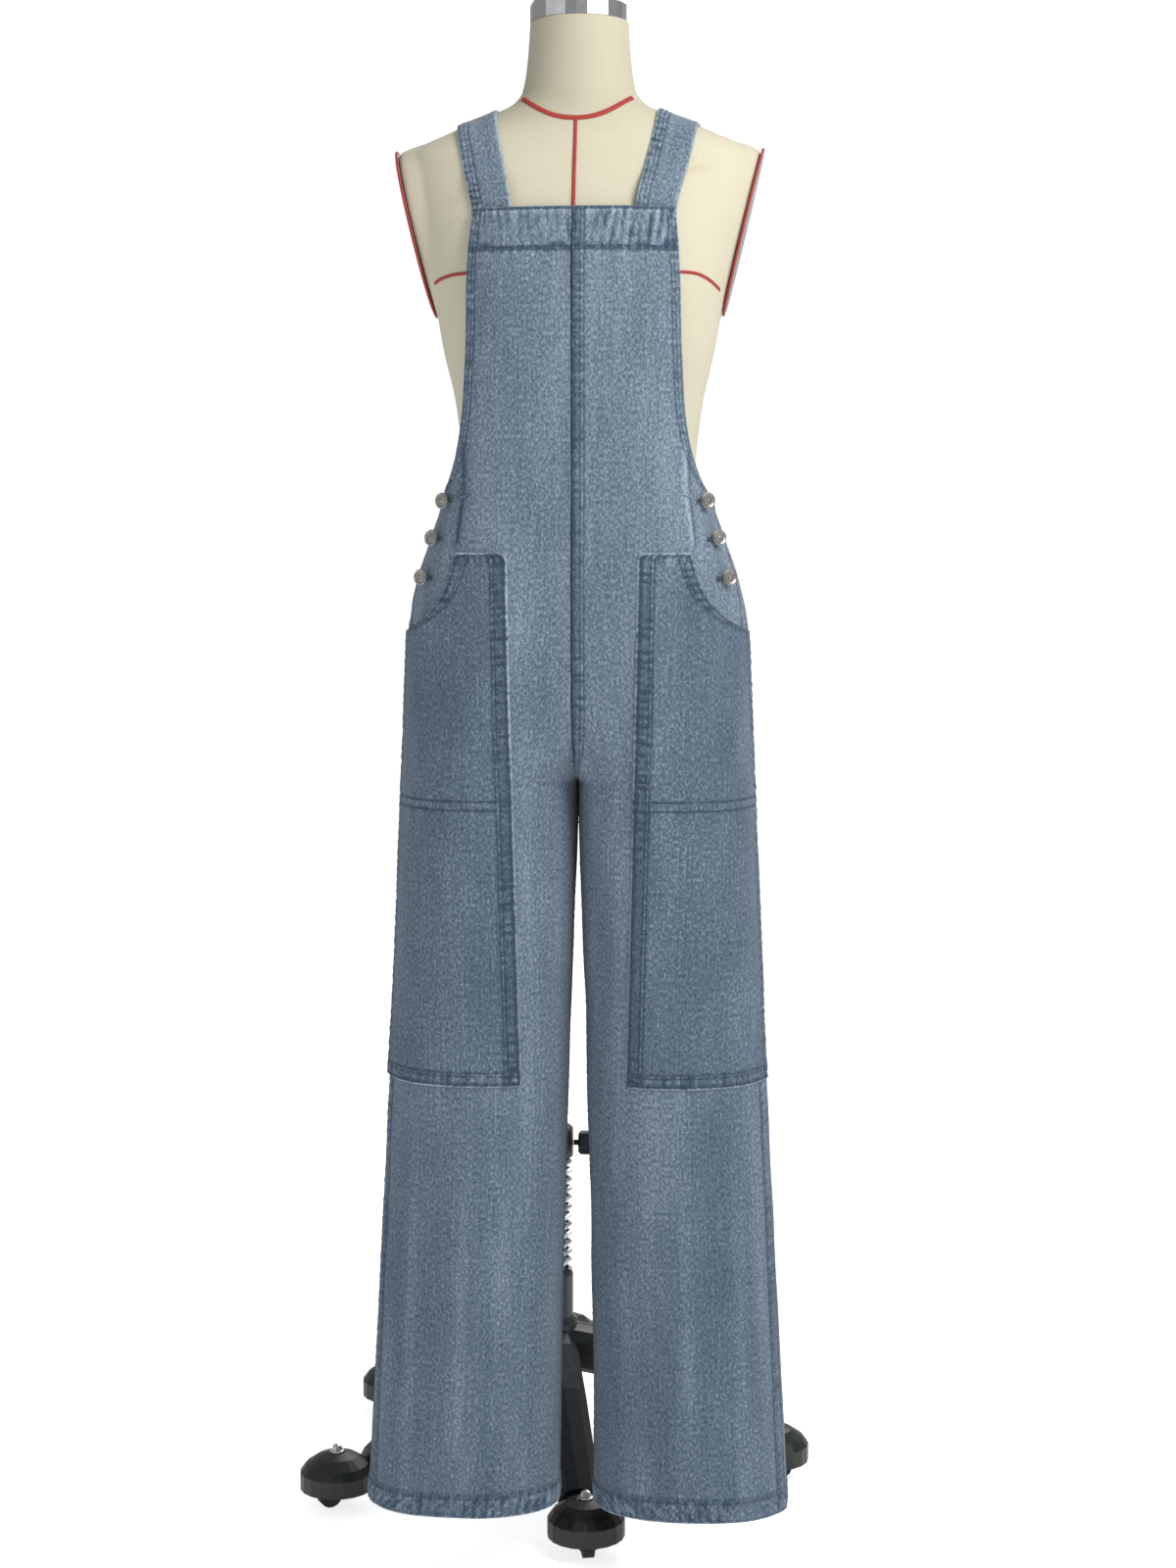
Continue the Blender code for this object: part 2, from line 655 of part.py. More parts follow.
def drum_shape(name, radius, length, sides):
    """A closed drum along Z about the origin, for a union, sizes in millimetres."""
    body = bmesh.new()
    bmesh.ops.create_cone(body, cap_ends=True, segments=sides, radius1=radius * MM,
                          radius2=radius * MM, depth=length * MM)
    mesh = bpy.data.meshes.new(name)
    body.to_mesh(mesh)
    body.free()
    return bpy.data.objects.new(name, mesh)


def fork_mesh():
    """The caster's fork as one mesh: swivel plate, two cheeks and the axle."""
    plate = drum_shape("swivel_plate", 11, 5, 20)
    plate.location = (0, 0, 32 * MM)
    axle = drum_shape("axle", 2, 15.4, 12)
    axle.rotation_euler = (math.pi / 2, 0, 0)
    axle.location = (WHEEL_TRAIL * MM, 0, AXLE_Z * MM)
    shapes = [axle]
    for across in (-7.2, 7.2):
        shapes.append(box_shape("cheek", (12, 2.4, 24), (6, across, 19.5)))
        shapes.append(box_shape("cheek_foot", (9, 2.4, 9), (WHEEL_TRAIL, across, 12.7)))
    for thing in [plate] + shapes:
        PARTS.objects.link(thing)
    join_shapes(plate, shapes)
    bpy.context.view_layer.update()
    graph = bpy.context.evaluated_depsgraph_get()
    mesh = bpy.data.meshes.new_from_object(plate.evaluated_get(graph))
    mesh.transform(plate.matrix_world)
    for thing in [plate] + shapes:
        bpy.data.objects.remove(thing, do_unlink=True)
    return mesh


clear_scene()
PARTS = new_collection("denim_dungarees")
CUTTERS = new_collection("cutters")
MATERIALS = {slot: make_material(slot) for slot in COLOURS}
FRAME = bpy.data.objects.new("frame", None)
FRAME.location = (FORM_X * MM, FORM_Y * MM, 0)
PARTS.objects.link(FRAME)
build_panels()
build_patches()
build_straps()
build_buttons()
build_form()
build_column()
build_base()
build_feet()
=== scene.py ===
"""Looks of the denim dungarees: cloth, stitches, dress form, stand, light and camera.

Lengths inside the classes are millimetres measured from the dress form's axis, as in the
model's own drawing; `placed` turns them into the frame's metres.
"""

import logging
import math
from dataclasses import dataclass, field
from enum import Enum
from typing import Callable, Optional, Sequence

import bpy
import numpy as np
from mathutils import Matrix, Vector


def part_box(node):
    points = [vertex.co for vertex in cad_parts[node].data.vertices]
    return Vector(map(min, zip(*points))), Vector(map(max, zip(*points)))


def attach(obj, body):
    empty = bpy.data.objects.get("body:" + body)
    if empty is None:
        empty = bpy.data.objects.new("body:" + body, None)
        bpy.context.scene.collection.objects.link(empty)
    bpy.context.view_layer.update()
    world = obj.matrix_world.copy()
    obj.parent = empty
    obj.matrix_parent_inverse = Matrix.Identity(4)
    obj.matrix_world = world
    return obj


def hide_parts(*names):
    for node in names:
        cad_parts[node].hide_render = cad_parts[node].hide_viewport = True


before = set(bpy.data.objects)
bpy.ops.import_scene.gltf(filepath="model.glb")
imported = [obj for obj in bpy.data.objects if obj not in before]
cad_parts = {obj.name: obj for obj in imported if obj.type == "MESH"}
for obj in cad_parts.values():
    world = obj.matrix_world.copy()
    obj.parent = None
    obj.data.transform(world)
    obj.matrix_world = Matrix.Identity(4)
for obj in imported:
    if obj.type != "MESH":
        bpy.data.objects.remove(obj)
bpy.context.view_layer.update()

MM = 0.001
LOG = logging.getLogger("dungarees")
UPPER = "upper"


class Side(Enum):
    """The wearer's side: +X is the wearer's left."""

    LEFT = 1
    RIGHT = -1

    @property
    def word(self) -> str:
        """The side's name in node names."""
        return self.name.lower()

    @property
    def across(self) -> np.ndarray:
        """What turns a point on the wearer's left into one on this side."""
        return np.array([self.value, 1, 1])


class Edge(Enum):
    """The edge of a cloth piece that a distance is measured from."""

    START = "start"
    END = "end"
    BOTTOM = "bottom"
    TOP = "top"


# ---- small maths ------------------------------------------------------------------
def smooth(value: np.ndarray, low: float, high: float) -> np.ndarray:
    """Ease from 0 at low to 1 at high: 3t^2 - 2t^3 of the clipped share t."""
    share = np.clip((np.asarray(value, float) - low) / (high - low), 0, 1)
    return share * share * (3 - 2 * share)


def hump(value: np.ndarray, centre: float, width: float) -> np.ndarray:
    """Bell curve of height 1: exp(-((value - centre) / width)^2)."""
    return np.exp(-((value - centre) / width) ** 2)


def signed_power(value: np.ndarray, power: np.ndarray) -> np.ndarray:
    """Power of a number's size, keeping its sign."""
    return np.sign(value) * np.abs(value) ** power


def lattice(ix: np.ndarray, iy: np.ndarray, seed: int) -> np.ndarray:
    """Repeatable value from -1 to 1 for each whole-number point of a lattice."""
    across, up = ix.astype(np.int64) * 374761393, iy.astype(np.int64) * 668265263
    n = (across + up + seed * 974634777) & 0xFFFFFFFF
    n = ((n ^ (n >> 13)) * 1274126177) & 0xFFFFFFFF
    return ((n ^ (n >> 16)) & 0xFFFF) / 32767.5 - 1


def noise(x: np.ndarray, y: np.ndarray, seed: int) -> np.ndarray:
    """Smooth noise from -1 to 1 with features one unit wide: lattice values eased bilinearly."""
    x, y = np.broadcast_arrays(np.asarray(x, float), np.asarray(y, float))
    ix, iy = np.floor(x), np.floor(y)
    u, v = smooth(x - ix, 0, 1), smooth(y - iy, 0, 1)
    low = lattice(ix, iy, seed) * (1 - u) + lattice(ix + 1, iy, seed) * u
    high = lattice(ix, iy + 1, seed) * (1 - u) + lattice(ix + 1, iy + 1, seed) * u
    return low * (1 - v) + high * v


def unit(vectors: np.ndarray) -> np.ndarray:
    """Vectors scaled to length one."""
    return vectors / np.maximum(np.linalg.norm(vectors, axis=-1, keepdims=True), 1e-12)


def row_interp(rows: np.ndarray, keys: np.ndarray, values: np.ndarray, row_at: np.ndarray,
               key_at: np.ndarray) -> np.ndarray:
    """Interpolate along many rows at once.

    Each row's keys are shifted by a stride larger than any key, so that all rows make one
    rising sequence and a single interpolation serves them all.

    Args:
        rows: number of each row, shape (R,).
        keys: rising keys, shape (R, C).
        values: values at the keys, shape (R, C, K).
        row_at: row number of each query.
        key_at: key of each query.

    Returns:
        Values at the queries, with the queries' shape and K at the end.
    """
    stride = 4.0 * (np.abs(keys).max() + 1.0)
    line = (keys + rows[:, None] * stride).ravel()
    key_at = np.clip(key_at, keys[:, 0][row_at], keys[:, -1][row_at])
    where = key_at + row_at * stride
    parts = [np.interp(where, line, values[..., k].ravel()) for k in range(values.shape[-1])]
    return np.stack(parts, axis=-1)


@dataclass(frozen=True)
class Table:
    """Columns of sizes against height or turn, read by a smooth cubic."""

    rows: tuple

    def __call__(self, index: int, at: np.ndarray) -> np.ndarray:
        """Column `index` at each position, by Hermite pieces with harmonic-mean slopes.

        Args:
            index: column, where 0 is the position itself.
            at: positions to read.

        Returns:
            The column's values.
        """
        data = np.array(self.rows, float)
        knots, values = data[:, 0], data[:, index]
        steps = np.diff(values) / np.diff(knots)
        inner = np.where(steps[:-1] * steps[1:] > 0,
                         2 * steps[:-1] * steps[1:] / (steps[:-1] + steps[1:] + 1e-12), 0)
        slopes = np.concatenate([steps[:1], inner, steps[-1:]])
        at = np.clip(at, knots[0], knots[-1])
        i = np.clip(np.searchsorted(knots, at) - 1, 0, len(knots) - 2)
        span = knots[i + 1] - knots[i]
        u = (at - knots[i]) / span
        return ((2 * u**3 - 3 * u**2 + 1) * values[i] + (u**3 - 2 * u**2 + u) * span * slopes[i]
                + (3 * u**2 - 2 * u**3) * values[i + 1] + (u**3 - u**2) * span * slopes[i + 1])


# ---- where things are -------------------------------------------------------------
@dataclass
class Layout:
    """The form's axis on the floor, in the frame's metres."""

    axis: np.ndarray

    @classmethod
    def from_frame(cls) -> "Layout":
        """Put the axis under the middle of the neck cap's box."""
        low, high = (np.array(v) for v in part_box("neck_cap"))
        return cls(np.append(((low + high) / 2)[:2], 0.0))

    def placed(self, points: np.ndarray) -> np.ndarray:
        """Points in millimetres from the form's axis, in the frame's metres."""
        return np.asarray(points, float) * MM + self.axis


LAYOUT = Layout.from_frame()


# ---- the garment's shape ----------------------------------------------------------
@dataclass(frozen=True)
class GarmentShape:
    """The outer skin of the dungarees: one rounded oval for each leg at each height."""

    crotch: float = 800.0
    hip: float = 960.0
    opening: float = 1080.0
    bib_top: float = 1359.0
    back_top: float = 1230.0
    hem: float = 72.0
    rings: Table = Table((
        # z     half  inner centre front  back  power
        (72,    212,  18.0, -30,   67,    66,   2.30),
        (150,   208,  17.2, -28,   69,    68,   2.30),
        (242,   203,  16.0, -26,   72,    71,   2.30),
        (392,   195,  13.0, -22,   78,    77,   2.30),
        (504,   189,  9.5,  -18,   84,    83,   2.30),
        (642,   182,  4.8,  -11,   94,    94,   2.35),
        (720,   179,  2.0,  -6,    101,   103,  2.40),
        (800,   176,  0.4,  -2,    109,   114,  2.40),
        (872,   173,  0.0,  0,     115,   122,  2.50),
        (947,   170,  0.0,  0,     119,   124,  2.70),
        (1002,  159,  0.0,  0,     119,   118,  3.00),
        (1040,  146,  0.0,  0,     118,   110,  3.20),
        (1080,  134,  0.0,  0,     117,   102,  3.40),
        (1148,  144,  0.0,  0,     117,   97,   3.20),
        (1230,  148,  0.0,  0,     118,   95,   3.00),
        (1293,  150,  0.0,  0,     117,   94,   2.80),
        (1359,  146,  0.0,  0,     104,   92,   2.60),
    ))
    bib_edge: Table = Table((
        # z     x
        (1080, 133.0), (1092, 126.5), (1102, 122.0), (1122, 115.5), (1148, 110.5),
        (1175, 107.5), (1230, 105.2), (1293, 103.7), (1359, 98.5),
    ))
    back_edge: Table = Table((
        # z     x
        (1080, 133.0), (1090, 126.0), (1104, 116.0), (1130, 102.0), (1160, 90.0),
        (1195, 81.0), (1230, 77.0),
    ))
    patch_edge: Table = Table(((504, 51.5), (786, 58.0), (1027, 62.5)))
    pocket_mouth: Table = Table((
        # z     x
        (947, 170.0), (953, 161.0), (960, 150.5), (968, 140.5), (980, 130.0), (996, 121.5),
        (1027, 112.0),
    ))

    def ring(self, z: np.ndarray) -> tuple:
        """Centre x and half width: a whole leg below the crotch, merging up to the hips."""
        half, inner = self.rings(1, z), self.rings(2, z)
        share = np.clip((self.hip - z) / (self.hip - self.crotch), 0, 1) ** 1.5
        below = z <= self.crotch
        width = np.where(below, (half - inner) / 2, half / (1 + share))
        centre = np.where(below, (half + inner) / 2, half - width)
        return centre, width

    def point(self, z: np.ndarray, angle: np.ndarray) -> np.ndarray:
        """Skin point: centre plus width times sin^(2/p), centre minus depth times cos^(2/p).

        Args:
            z: heights.
            angle: degrees round the ring, 0 in front, 90 at the outer side, 180 behind.

        Returns:
            Points with x, y, z at the end.
        """
        z, angle = np.broadcast_arrays(np.asarray(z, float), np.asarray(angle, float))
        turn = np.radians(angle)
        power = self.rings(6, z)
        centre, width = self.ring(z)
        depth = np.where(np.cos(turn) > 0, self.rings(4, z), self.rings(5, z))
        x = centre + width * signed_power(np.sin(turn), 2 / power)
        y = self.rings(3, z) - depth * signed_power(np.cos(turn), 2 / power)
        return np.stack([x, y, z], axis=-1)

    def angle_at(self, z: np.ndarray, x: np.ndarray) -> np.ndarray:
        """Front angle at which the ring reaches a width x."""
        centre, width = self.ring(z)
        reach = np.clip((x - centre) / width, -1, 1)
        return np.degrees(np.arcsin(signed_power(reach, self.rings(6, z) / 2)))

    def side_angle(self, z: np.ndarray) -> np.ndarray:
        """Angle of the side seam, a little forward at the hem."""
        return np.interp(z, (self.hem, self.hip, self.opening), (76, 79, 84))

    def front_span(self, z: np.ndarray) -> tuple:
        """Angles where the front panel starts and ends."""
        start = np.where(z <= self.crotch, -90.0, self.angle_at(z, 0.0))
        edge = np.minimum(self.side_angle(z), self.angle_at(z, self.bib_edge(1, z)))
        return start, np.where(z <= self.opening, self.side_angle(z), edge)

    def back_span(self, z: np.ndarray) -> tuple:
        """Angles where the back panel starts and ends; its underlay runs under the flap."""
        end = np.where(z <= self.crotch, 270.0, 180.0 - self.angle_at(z, 0.0))
        under = 9.0 * self.underlay(z)
        edge = 180.0 - self.angle_at(z, self.back_edge(1, z))
        start = np.where(z <= self.opening, self.side_angle(z) - under,
                         np.maximum(self.side_angle(z) - under, edge))
        return start, end

    def underlay(self, z: np.ndarray) -> np.ndarray:
        """Share, 0 to 1, of the button underlay at a height beside the opening."""
        return smooth(z, 962, 985) * (1 - smooth(z, 1080, 1096))

    def patch_span(self, z: np.ndarray, corner: float = 9.0, bottom: float = 504.0,
                   top: float = 1027.0, mouth: float = 947.0) -> tuple:
        """Angles of the patch: inner edge with rounded corners, side seam or pocket mouth."""
        rise = np.clip((z - (top - corner)) / corner, 0, 1)
        drop = np.clip(((bottom + 4) - z) / 4, 0, 1)
        nudge = corner * (1 - np.sqrt(1 - rise**2 * 0.999)) + 4 * (1 - np.sqrt(1 - drop**2 * 0.999))
        start = self.angle_at(z, self.patch_edge(1, z) + nudge)
        lip = self.angle_at(z, self.pocket_mouth(1, z))
        end = np.where(z > mouth, np.minimum(self.side_angle(z), lip), self.side_angle(z))
        return start, end


SHAPE = GarmentShape()


# ---- meshes -----------------------------------------------------------------------
def grid_quads(rows: int, columns: int, flip: bool = False, wrap: bool = False) -> np.ndarray:
    """Quads of a grid of points, row by row; wrap joins the last column to the first."""
    r = np.arange(rows - 1)[:, None]
    c = np.arange(columns if wrap else columns - 1)[None, :]
    nxt = (c + 1) % columns
    quads = np.stack([r * columns + c, r * columns + nxt, (r + 1) * columns + nxt,
                      (r + 1) * columns + c], axis=-1).reshape(-1, 4)
    return quads[:, ::-1] if flip else quads


def add_piece(name: str, points: np.ndarray, faces: Sequence, material: bpy.types.Material,
              body: str) -> bpy.types.Object:
    """Make a smooth mesh object at the origin, dress it and let it ride on a body.

    Args:
        name: the piece's name.
        points: vertices in the frame's metres.
        faces: arrays of vertex numbers, each array holding faces of one size.
        material: its finish.
        body: body that it rides on.

    Returns:
        The object.
    """
    mesh = bpy.data.meshes.new(name)
    groups = [np.asarray(group) for group in faces]
    mesh.vertices.add(len(points))
    mesh.vertices.foreach_set("co", np.asarray(points, np.float32).ravel())
    sizes = np.concatenate([np.full(len(g), g.shape[1]) for g in groups])
    corners = np.concatenate([g.ravel() for g in groups])
    mesh.loops.add(len(corners))
    mesh.loops.foreach_set("vertex_index", corners.astype(np.int32))
    mesh.polygons.add(len(sizes))
    starts = np.concatenate([[0], np.cumsum(sizes)[:-1]])
    mesh.polygons.foreach_set("loop_start", starts.astype(np.int32))
    mesh.update(calc_edges=True)
    mesh.validate()
    mesh.shade_smooth()
    thing = bpy.data.objects.new(name, mesh)
    bpy.context.scene.collection.objects.link(thing)
    mesh.materials.append(material)
    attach(thing, body)
    return thing


def add_mirrored(name: str, shapes: Sequence, side: Side,
                 material: bpy.types.Material) -> bpy.types.Object:
    """Join shapes drawn on the wearer's left and put them on a side, with x times 1 or -1.

    Args:
        name: the piece's name.
        shapes: (points, faces) of each shape, in millimetres from the form's axis.
        side: the wearer's side.
        material: its finish.

    Returns:
        The object.
    """
    points, faces = joined(shapes)
    if side is Side.RIGHT:
        faces = [f[:, ::-1] for f in faces]
    return add_piece(name, LAYOUT.placed(points * side.across), faces, material, UPPER)


def add_uv(thing: bpy.types.Object, uv: np.ndarray) -> None:
    """Give a mesh a UV map in metres from one pair per vertex."""
    mesh = thing.data
    layer = mesh.uv_layers.new(name="cloth")
    corner = np.empty(len(mesh.loops), np.int32)
    mesh.loops.foreach_get("vertex_index", corner)
    layer.data.foreach_set("uv", uv[corner].astype(np.float32).ravel())


def add_value(thing: bpy.types.Object, name: str, values: np.ndarray) -> None:
    """Give a mesh a number at each vertex, for its material."""
    layer = thing.data.attributes.new(name, "FLOAT", "POINT")
    layer.data.foreach_set("value", values.astype(np.float32).ravel())


def add_wall(thing: bpy.types.Object, thickness: float) -> None:
    """Turn an open skin into a wall, inwards."""
    shell = thing.modifiers.new("wall", "SOLIDIFY")
    shell.thickness = thickness * MM
    shell.offset = -1.0


def fans(steps: int, low: int, high: int, last: int) -> np.ndarray:
    """Triangles that close a grid of rings.

    Args:
        steps: points round each ring.
        low: number of the point that closes the first ring.
        high: number of the point that closes the last ring.
        last: number of the last ring's first point.

    Returns:
        The triangles.
    """
    c = np.arange(steps)
    n = (c + 1) % steps
    return np.concatenate([np.stack([np.full(steps, low), c, n], axis=-1),
                           np.stack([np.full(steps, high), last + n, last + c], axis=-1)])


def lathe(profile: Sequence, steps: int = 72) -> tuple:
    """Turn an outline of (radius, z) about Z: x = r cos t, y = r sin t.

    Args:
        profile: outline from the top down the outer side, with radius 0 at both ends.
        steps: points round.

    Returns:
        Points in the outline's units and its faces.
    """
    outline = np.array(profile, float)
    turns = np.arange(steps) * 2 * np.pi / steps
    radius, z = outline[1:-1, :1], outline[1:-1, 1:]
    ring = np.stack([radius * np.cos(turns), radius * np.sin(turns), z + 0 * turns], axis=-1)
    body = ring.reshape(-1, 3)
    quads = grid_quads(len(radius), steps, flip=True, wrap=True)
    top = len(body)
    points = np.concatenate([body, [[0, 0, outline[0, 1]], [0, 0, outline[-1, 1]]]])
    return points, [quads, fans(steps, top, top + 1, (len(radius) - 1) * steps)]


def tube(path: np.ndarray, radius: np.ndarray, sides: int = 12, up: Sequence = (0, 0, 1)) -> tuple:
    """Carry a circle along a path, with fans closing both ends.

    Args:
        path: points, shape (N, 3).
        radius: one radius, or one for each point.
        sides: points round.
        up: direction that is never along the path.

    Returns:
        Points and faces.
    """
    along = unit(np.gradient(path, axis=0))
    side = unit(np.cross(along, np.asarray(up, float)))
    over = np.cross(side, along)
    turns = np.arange(sides) * 2 * np.pi / sides
    radius = np.broadcast_to(np.asarray(radius, float), (len(path),))[:, None, None]
    ring = path[:, None] + radius * (np.cos(turns)[None, :, None] * side[:, None]
                                     + np.sin(turns)[None, :, None] * over[:, None])
    points = np.concatenate([ring.reshape(-1, 3), path[:1], path[-1:]])
    quads = grid_quads(len(path), sides, flip=True, wrap=True)
    low = len(path) * sides
    return points, [quads, fans(sides, low, low + 1, low - sides)]


def joined(shapes: Sequence) -> tuple:
    """Join (points, faces) shapes into one list of points and faces."""
    points, faces, count = [], [], 0
    for some, groups in shapes:
        points.append(some)
        faces += [np.asarray(g) + count for g in groups]
        count += len(some)
    merged = {}
    for group in faces:
        merged.setdefault(group.shape[1], []).append(group)
    return np.concatenate(points), [np.concatenate(g) for g in merged.values()]


# ---- cloth ------------------------------------------------------------------------
@dataclass
class Relief:
    """Height, wear with some painted highlight, and darkness that is mostly painted shade, of a cloth
    piece, worked out from distances in millimetres.
    """

    z: np.ndarray
    s: np.ndarray
    t: np.ndarray
    from_end: bool = False
    reach: float = 240.0

    def __post_init__(self) -> None:
        """Start flat, unworn, unshaded and even; u runs across the piece with no jump at the crotch."""
        full = (self.s + self.t)[:, :1]
        held = np.interp(np.minimum(self.z[:, :1], 1000.0), self.z[:, 0], full[:, 0])
        self.u = self.s + self.reach - held if self.from_end else self.s
        self.height = np.zeros_like(self.s)
        self.wear_and_highlight = np.zeros_like(self.s)
        self.dark = np.zeros_like(self.s)

    def band(self, away: np.ndarray, along: np.ndarray, width: float, rise: float, seed: int,
             pucker: float = 0.3, period: float = 7.0, reach: float = 7.0,
             where: np.ndarray = 1.0) -> None:
        """A sewn band: a plateau with a worn rim, and uneven puckers across it, with painted shade in
        their dips, just past the band's edge and along its stitch grooves.

        The plateau is one eased step up at the edge and one down past the width.  The puckers
        are noise along the seam, squashed so that short dark dips lie between longer ridges.

        Args:
            away: distance from the edge, inwards.
            along: distance along the seam.
            width: width of the plateau.
            rise: its height.
            seed: seed of its puckers.
            pucker: depth of the puckers.
            period: their mean spacing.
            reach: how far they run on past the band.
            where: share of the effect at each point.
        """
        flat = smooth(away, -0.6, 0.5) * (1 - smooth(away, width - 0.6, width + 0.9))
        near = (1 - smooth(away, width, width + reach)) * where
        wave = self.ripple(along, away, period, seed)
        dip = np.clip(-wave - 0.12, 0, 1)
        crest = np.clip(wave - 0.1, 0, 1)
        self.height += where * rise * flat + pucker * wave * near * 1.3
        rims = 0.55 * hump(away, width, 0.9) + 0.35 * hump(away, 0.4, 0.9)
        self.wear_and_highlight += where * rims * (0.75 + 0.4 * wave)
        self.wear_and_highlight += 0.38 * crest * near
        # painted shade in the pucker dips and in a line just past the band's edge
        self.dark += near * (0.95 * dip * (0.45 + 0.55 * flat))
        self.dark += where * 0.62 * hump(away, width + 1.6, 1.3)
        # painted shade in the stitch grooves: darker dashes along each row
        dash = 0.62 + 0.38 * noise(along / 2.6, np.zeros_like(along), seed + 17)
        for place in (2.6, width - 1.4) if width > 6 else (width / 2,):
            self.dark += where * 0.62 * dash * hump(away, place, 1.05)
            self.height -= where * 0.22 * hump(away, place, 1.2)

    @staticmethod
    def ripple(along: np.ndarray, away: np.ndarray, period: float, seed: int) -> np.ndarray:
        """Uneven puckers: a sine whose phase wanders, mixed with noise, swelling and fading."""
        zero = np.zeros_like(along)
        phase = 2 * np.pi * along / period + 3.2 * noise(along / 33.0, zero, seed + 5)
        wave = 0.55 * np.sin(phase + 0.10 * away)
        wave = wave + 0.75 * noise(along / period * 2.3, away / 9.0, seed)
        return wave * (0.70 + 0.45 * noise(along / 52.0, zero, seed + 13))

    def line(self, away: np.ndarray, along: np.ndarray, seed: int, depth: float = 0.35,
             pucker: float = 0.25, period: float = 6.0, reach: float = 6.0,
             where: np.ndarray = 1.0) -> None:
        """A row of stitches that pulls the cloth down, with short puckers to both sides, painted shade
        in its groove and in the puckers' dips, and worn crests.

        Args:
            away: signed distance from the row.
            along: distance along it.
            seed: seed of its puckers.
            depth: depth of the groove.
            pucker: depth of the puckers.
            period: their spacing.
            reach: how far they run.
            where: share of the effect at each point.
        """
        groove = hump(away, 0, 1.1) * where
        wave = self.ripple(along, away, period, seed)
        near = hump(away, 0, reach) * where
        self.height += -depth * groove + pucker * wave * near
        # painted shade in the stitch groove and in the pucker dips
        self.dark += 0.5 * groove + 0.45 * np.clip(-wave - 0.2, 0, 1) * near
        self.wear_and_highlight += 0.22 * np.clip(wave, 0, 1) * near

    def crease(self, z0: float, z1: float, f0: float, f1: float, width: float, depth: float) -> None:
        """A soft trough (or ridge, if depth is negative) from one place to another, with faint painted
        shade in a trough and a faint painted highlight on a ridge.

        Args:
            z0, z1: heights of its ends.
            f0, f1: places of its ends across the piece, 0 at the start edge and 1 at the end.
            width: its half width.
            depth: its depth.
        """
        share = (self.z - z0) / (z1 - z0)
        middle = (f0 + (f1 - f0) * share) * self.reach
        middle = middle + 3.0 * noise(self.z / 60.0, np.zeros_like(self.z), int(abs(z0) + 31 * width))
        taper = np.sin(np.pi * np.clip(share, 0, 1)) ** 0.8
        self.height -= depth * hump(self.u, middle, width) * taper
        # faint painted shade in a trough and painted highlight on a ridge, carried in the wear value
        self.wear_and_highlight -= 0.02 * depth * hump(self.u, middle, width) * taper

    def edge_roll(self, away: np.ndarray, depth: float = 1.1, reach: float = 1.6) -> None:
        """Round a free edge off inwards."""
        self.height -= depth * np.clip(1 - away / reach, 0, 1) ** 2
        self.wear_and_highlight += 0.5 * hump(away, 0.3, 1.0)


def add_cloth(name: str, points: np.ndarray, relief: Relief, apart: float, side: Side,
              material: bpy.types.Material) -> bpy.types.Object:
    """Make a grid of points a skin of cloth with its UV map, its wear with some painted highlight, and
    its darkness, mostly painted shade.

    Args:
        name: the piece's name.
        points: the grid's points, in millimetres on the wearer's left.
        relief: its relief.
        apart: shift of its UV map in metres, so that no two pieces share a grain.
        side: the wearer's side.
        material: its finish.

    Returns:
        The object.
    """
    quads = grid_quads(*relief.s.shape, flip=side is Side.RIGHT)
    thing = add_piece(name, LAYOUT.placed(points.reshape(-1, 3) * side.across), [quads], material,
                      UPPER)
    add_uv(thing, np.stack([relief.u * MM + apart, relief.z * MM], axis=-1).reshape(-1, 2))
    # wear with some painted highlight, then darkness that is mostly painted shade
    add_value(thing, "wear_and_highlight", np.clip(relief.wear_and_highlight, 0, 1))
    add_value(thing, "dark", np.clip(relief.dark, 0, 1))
    return thing


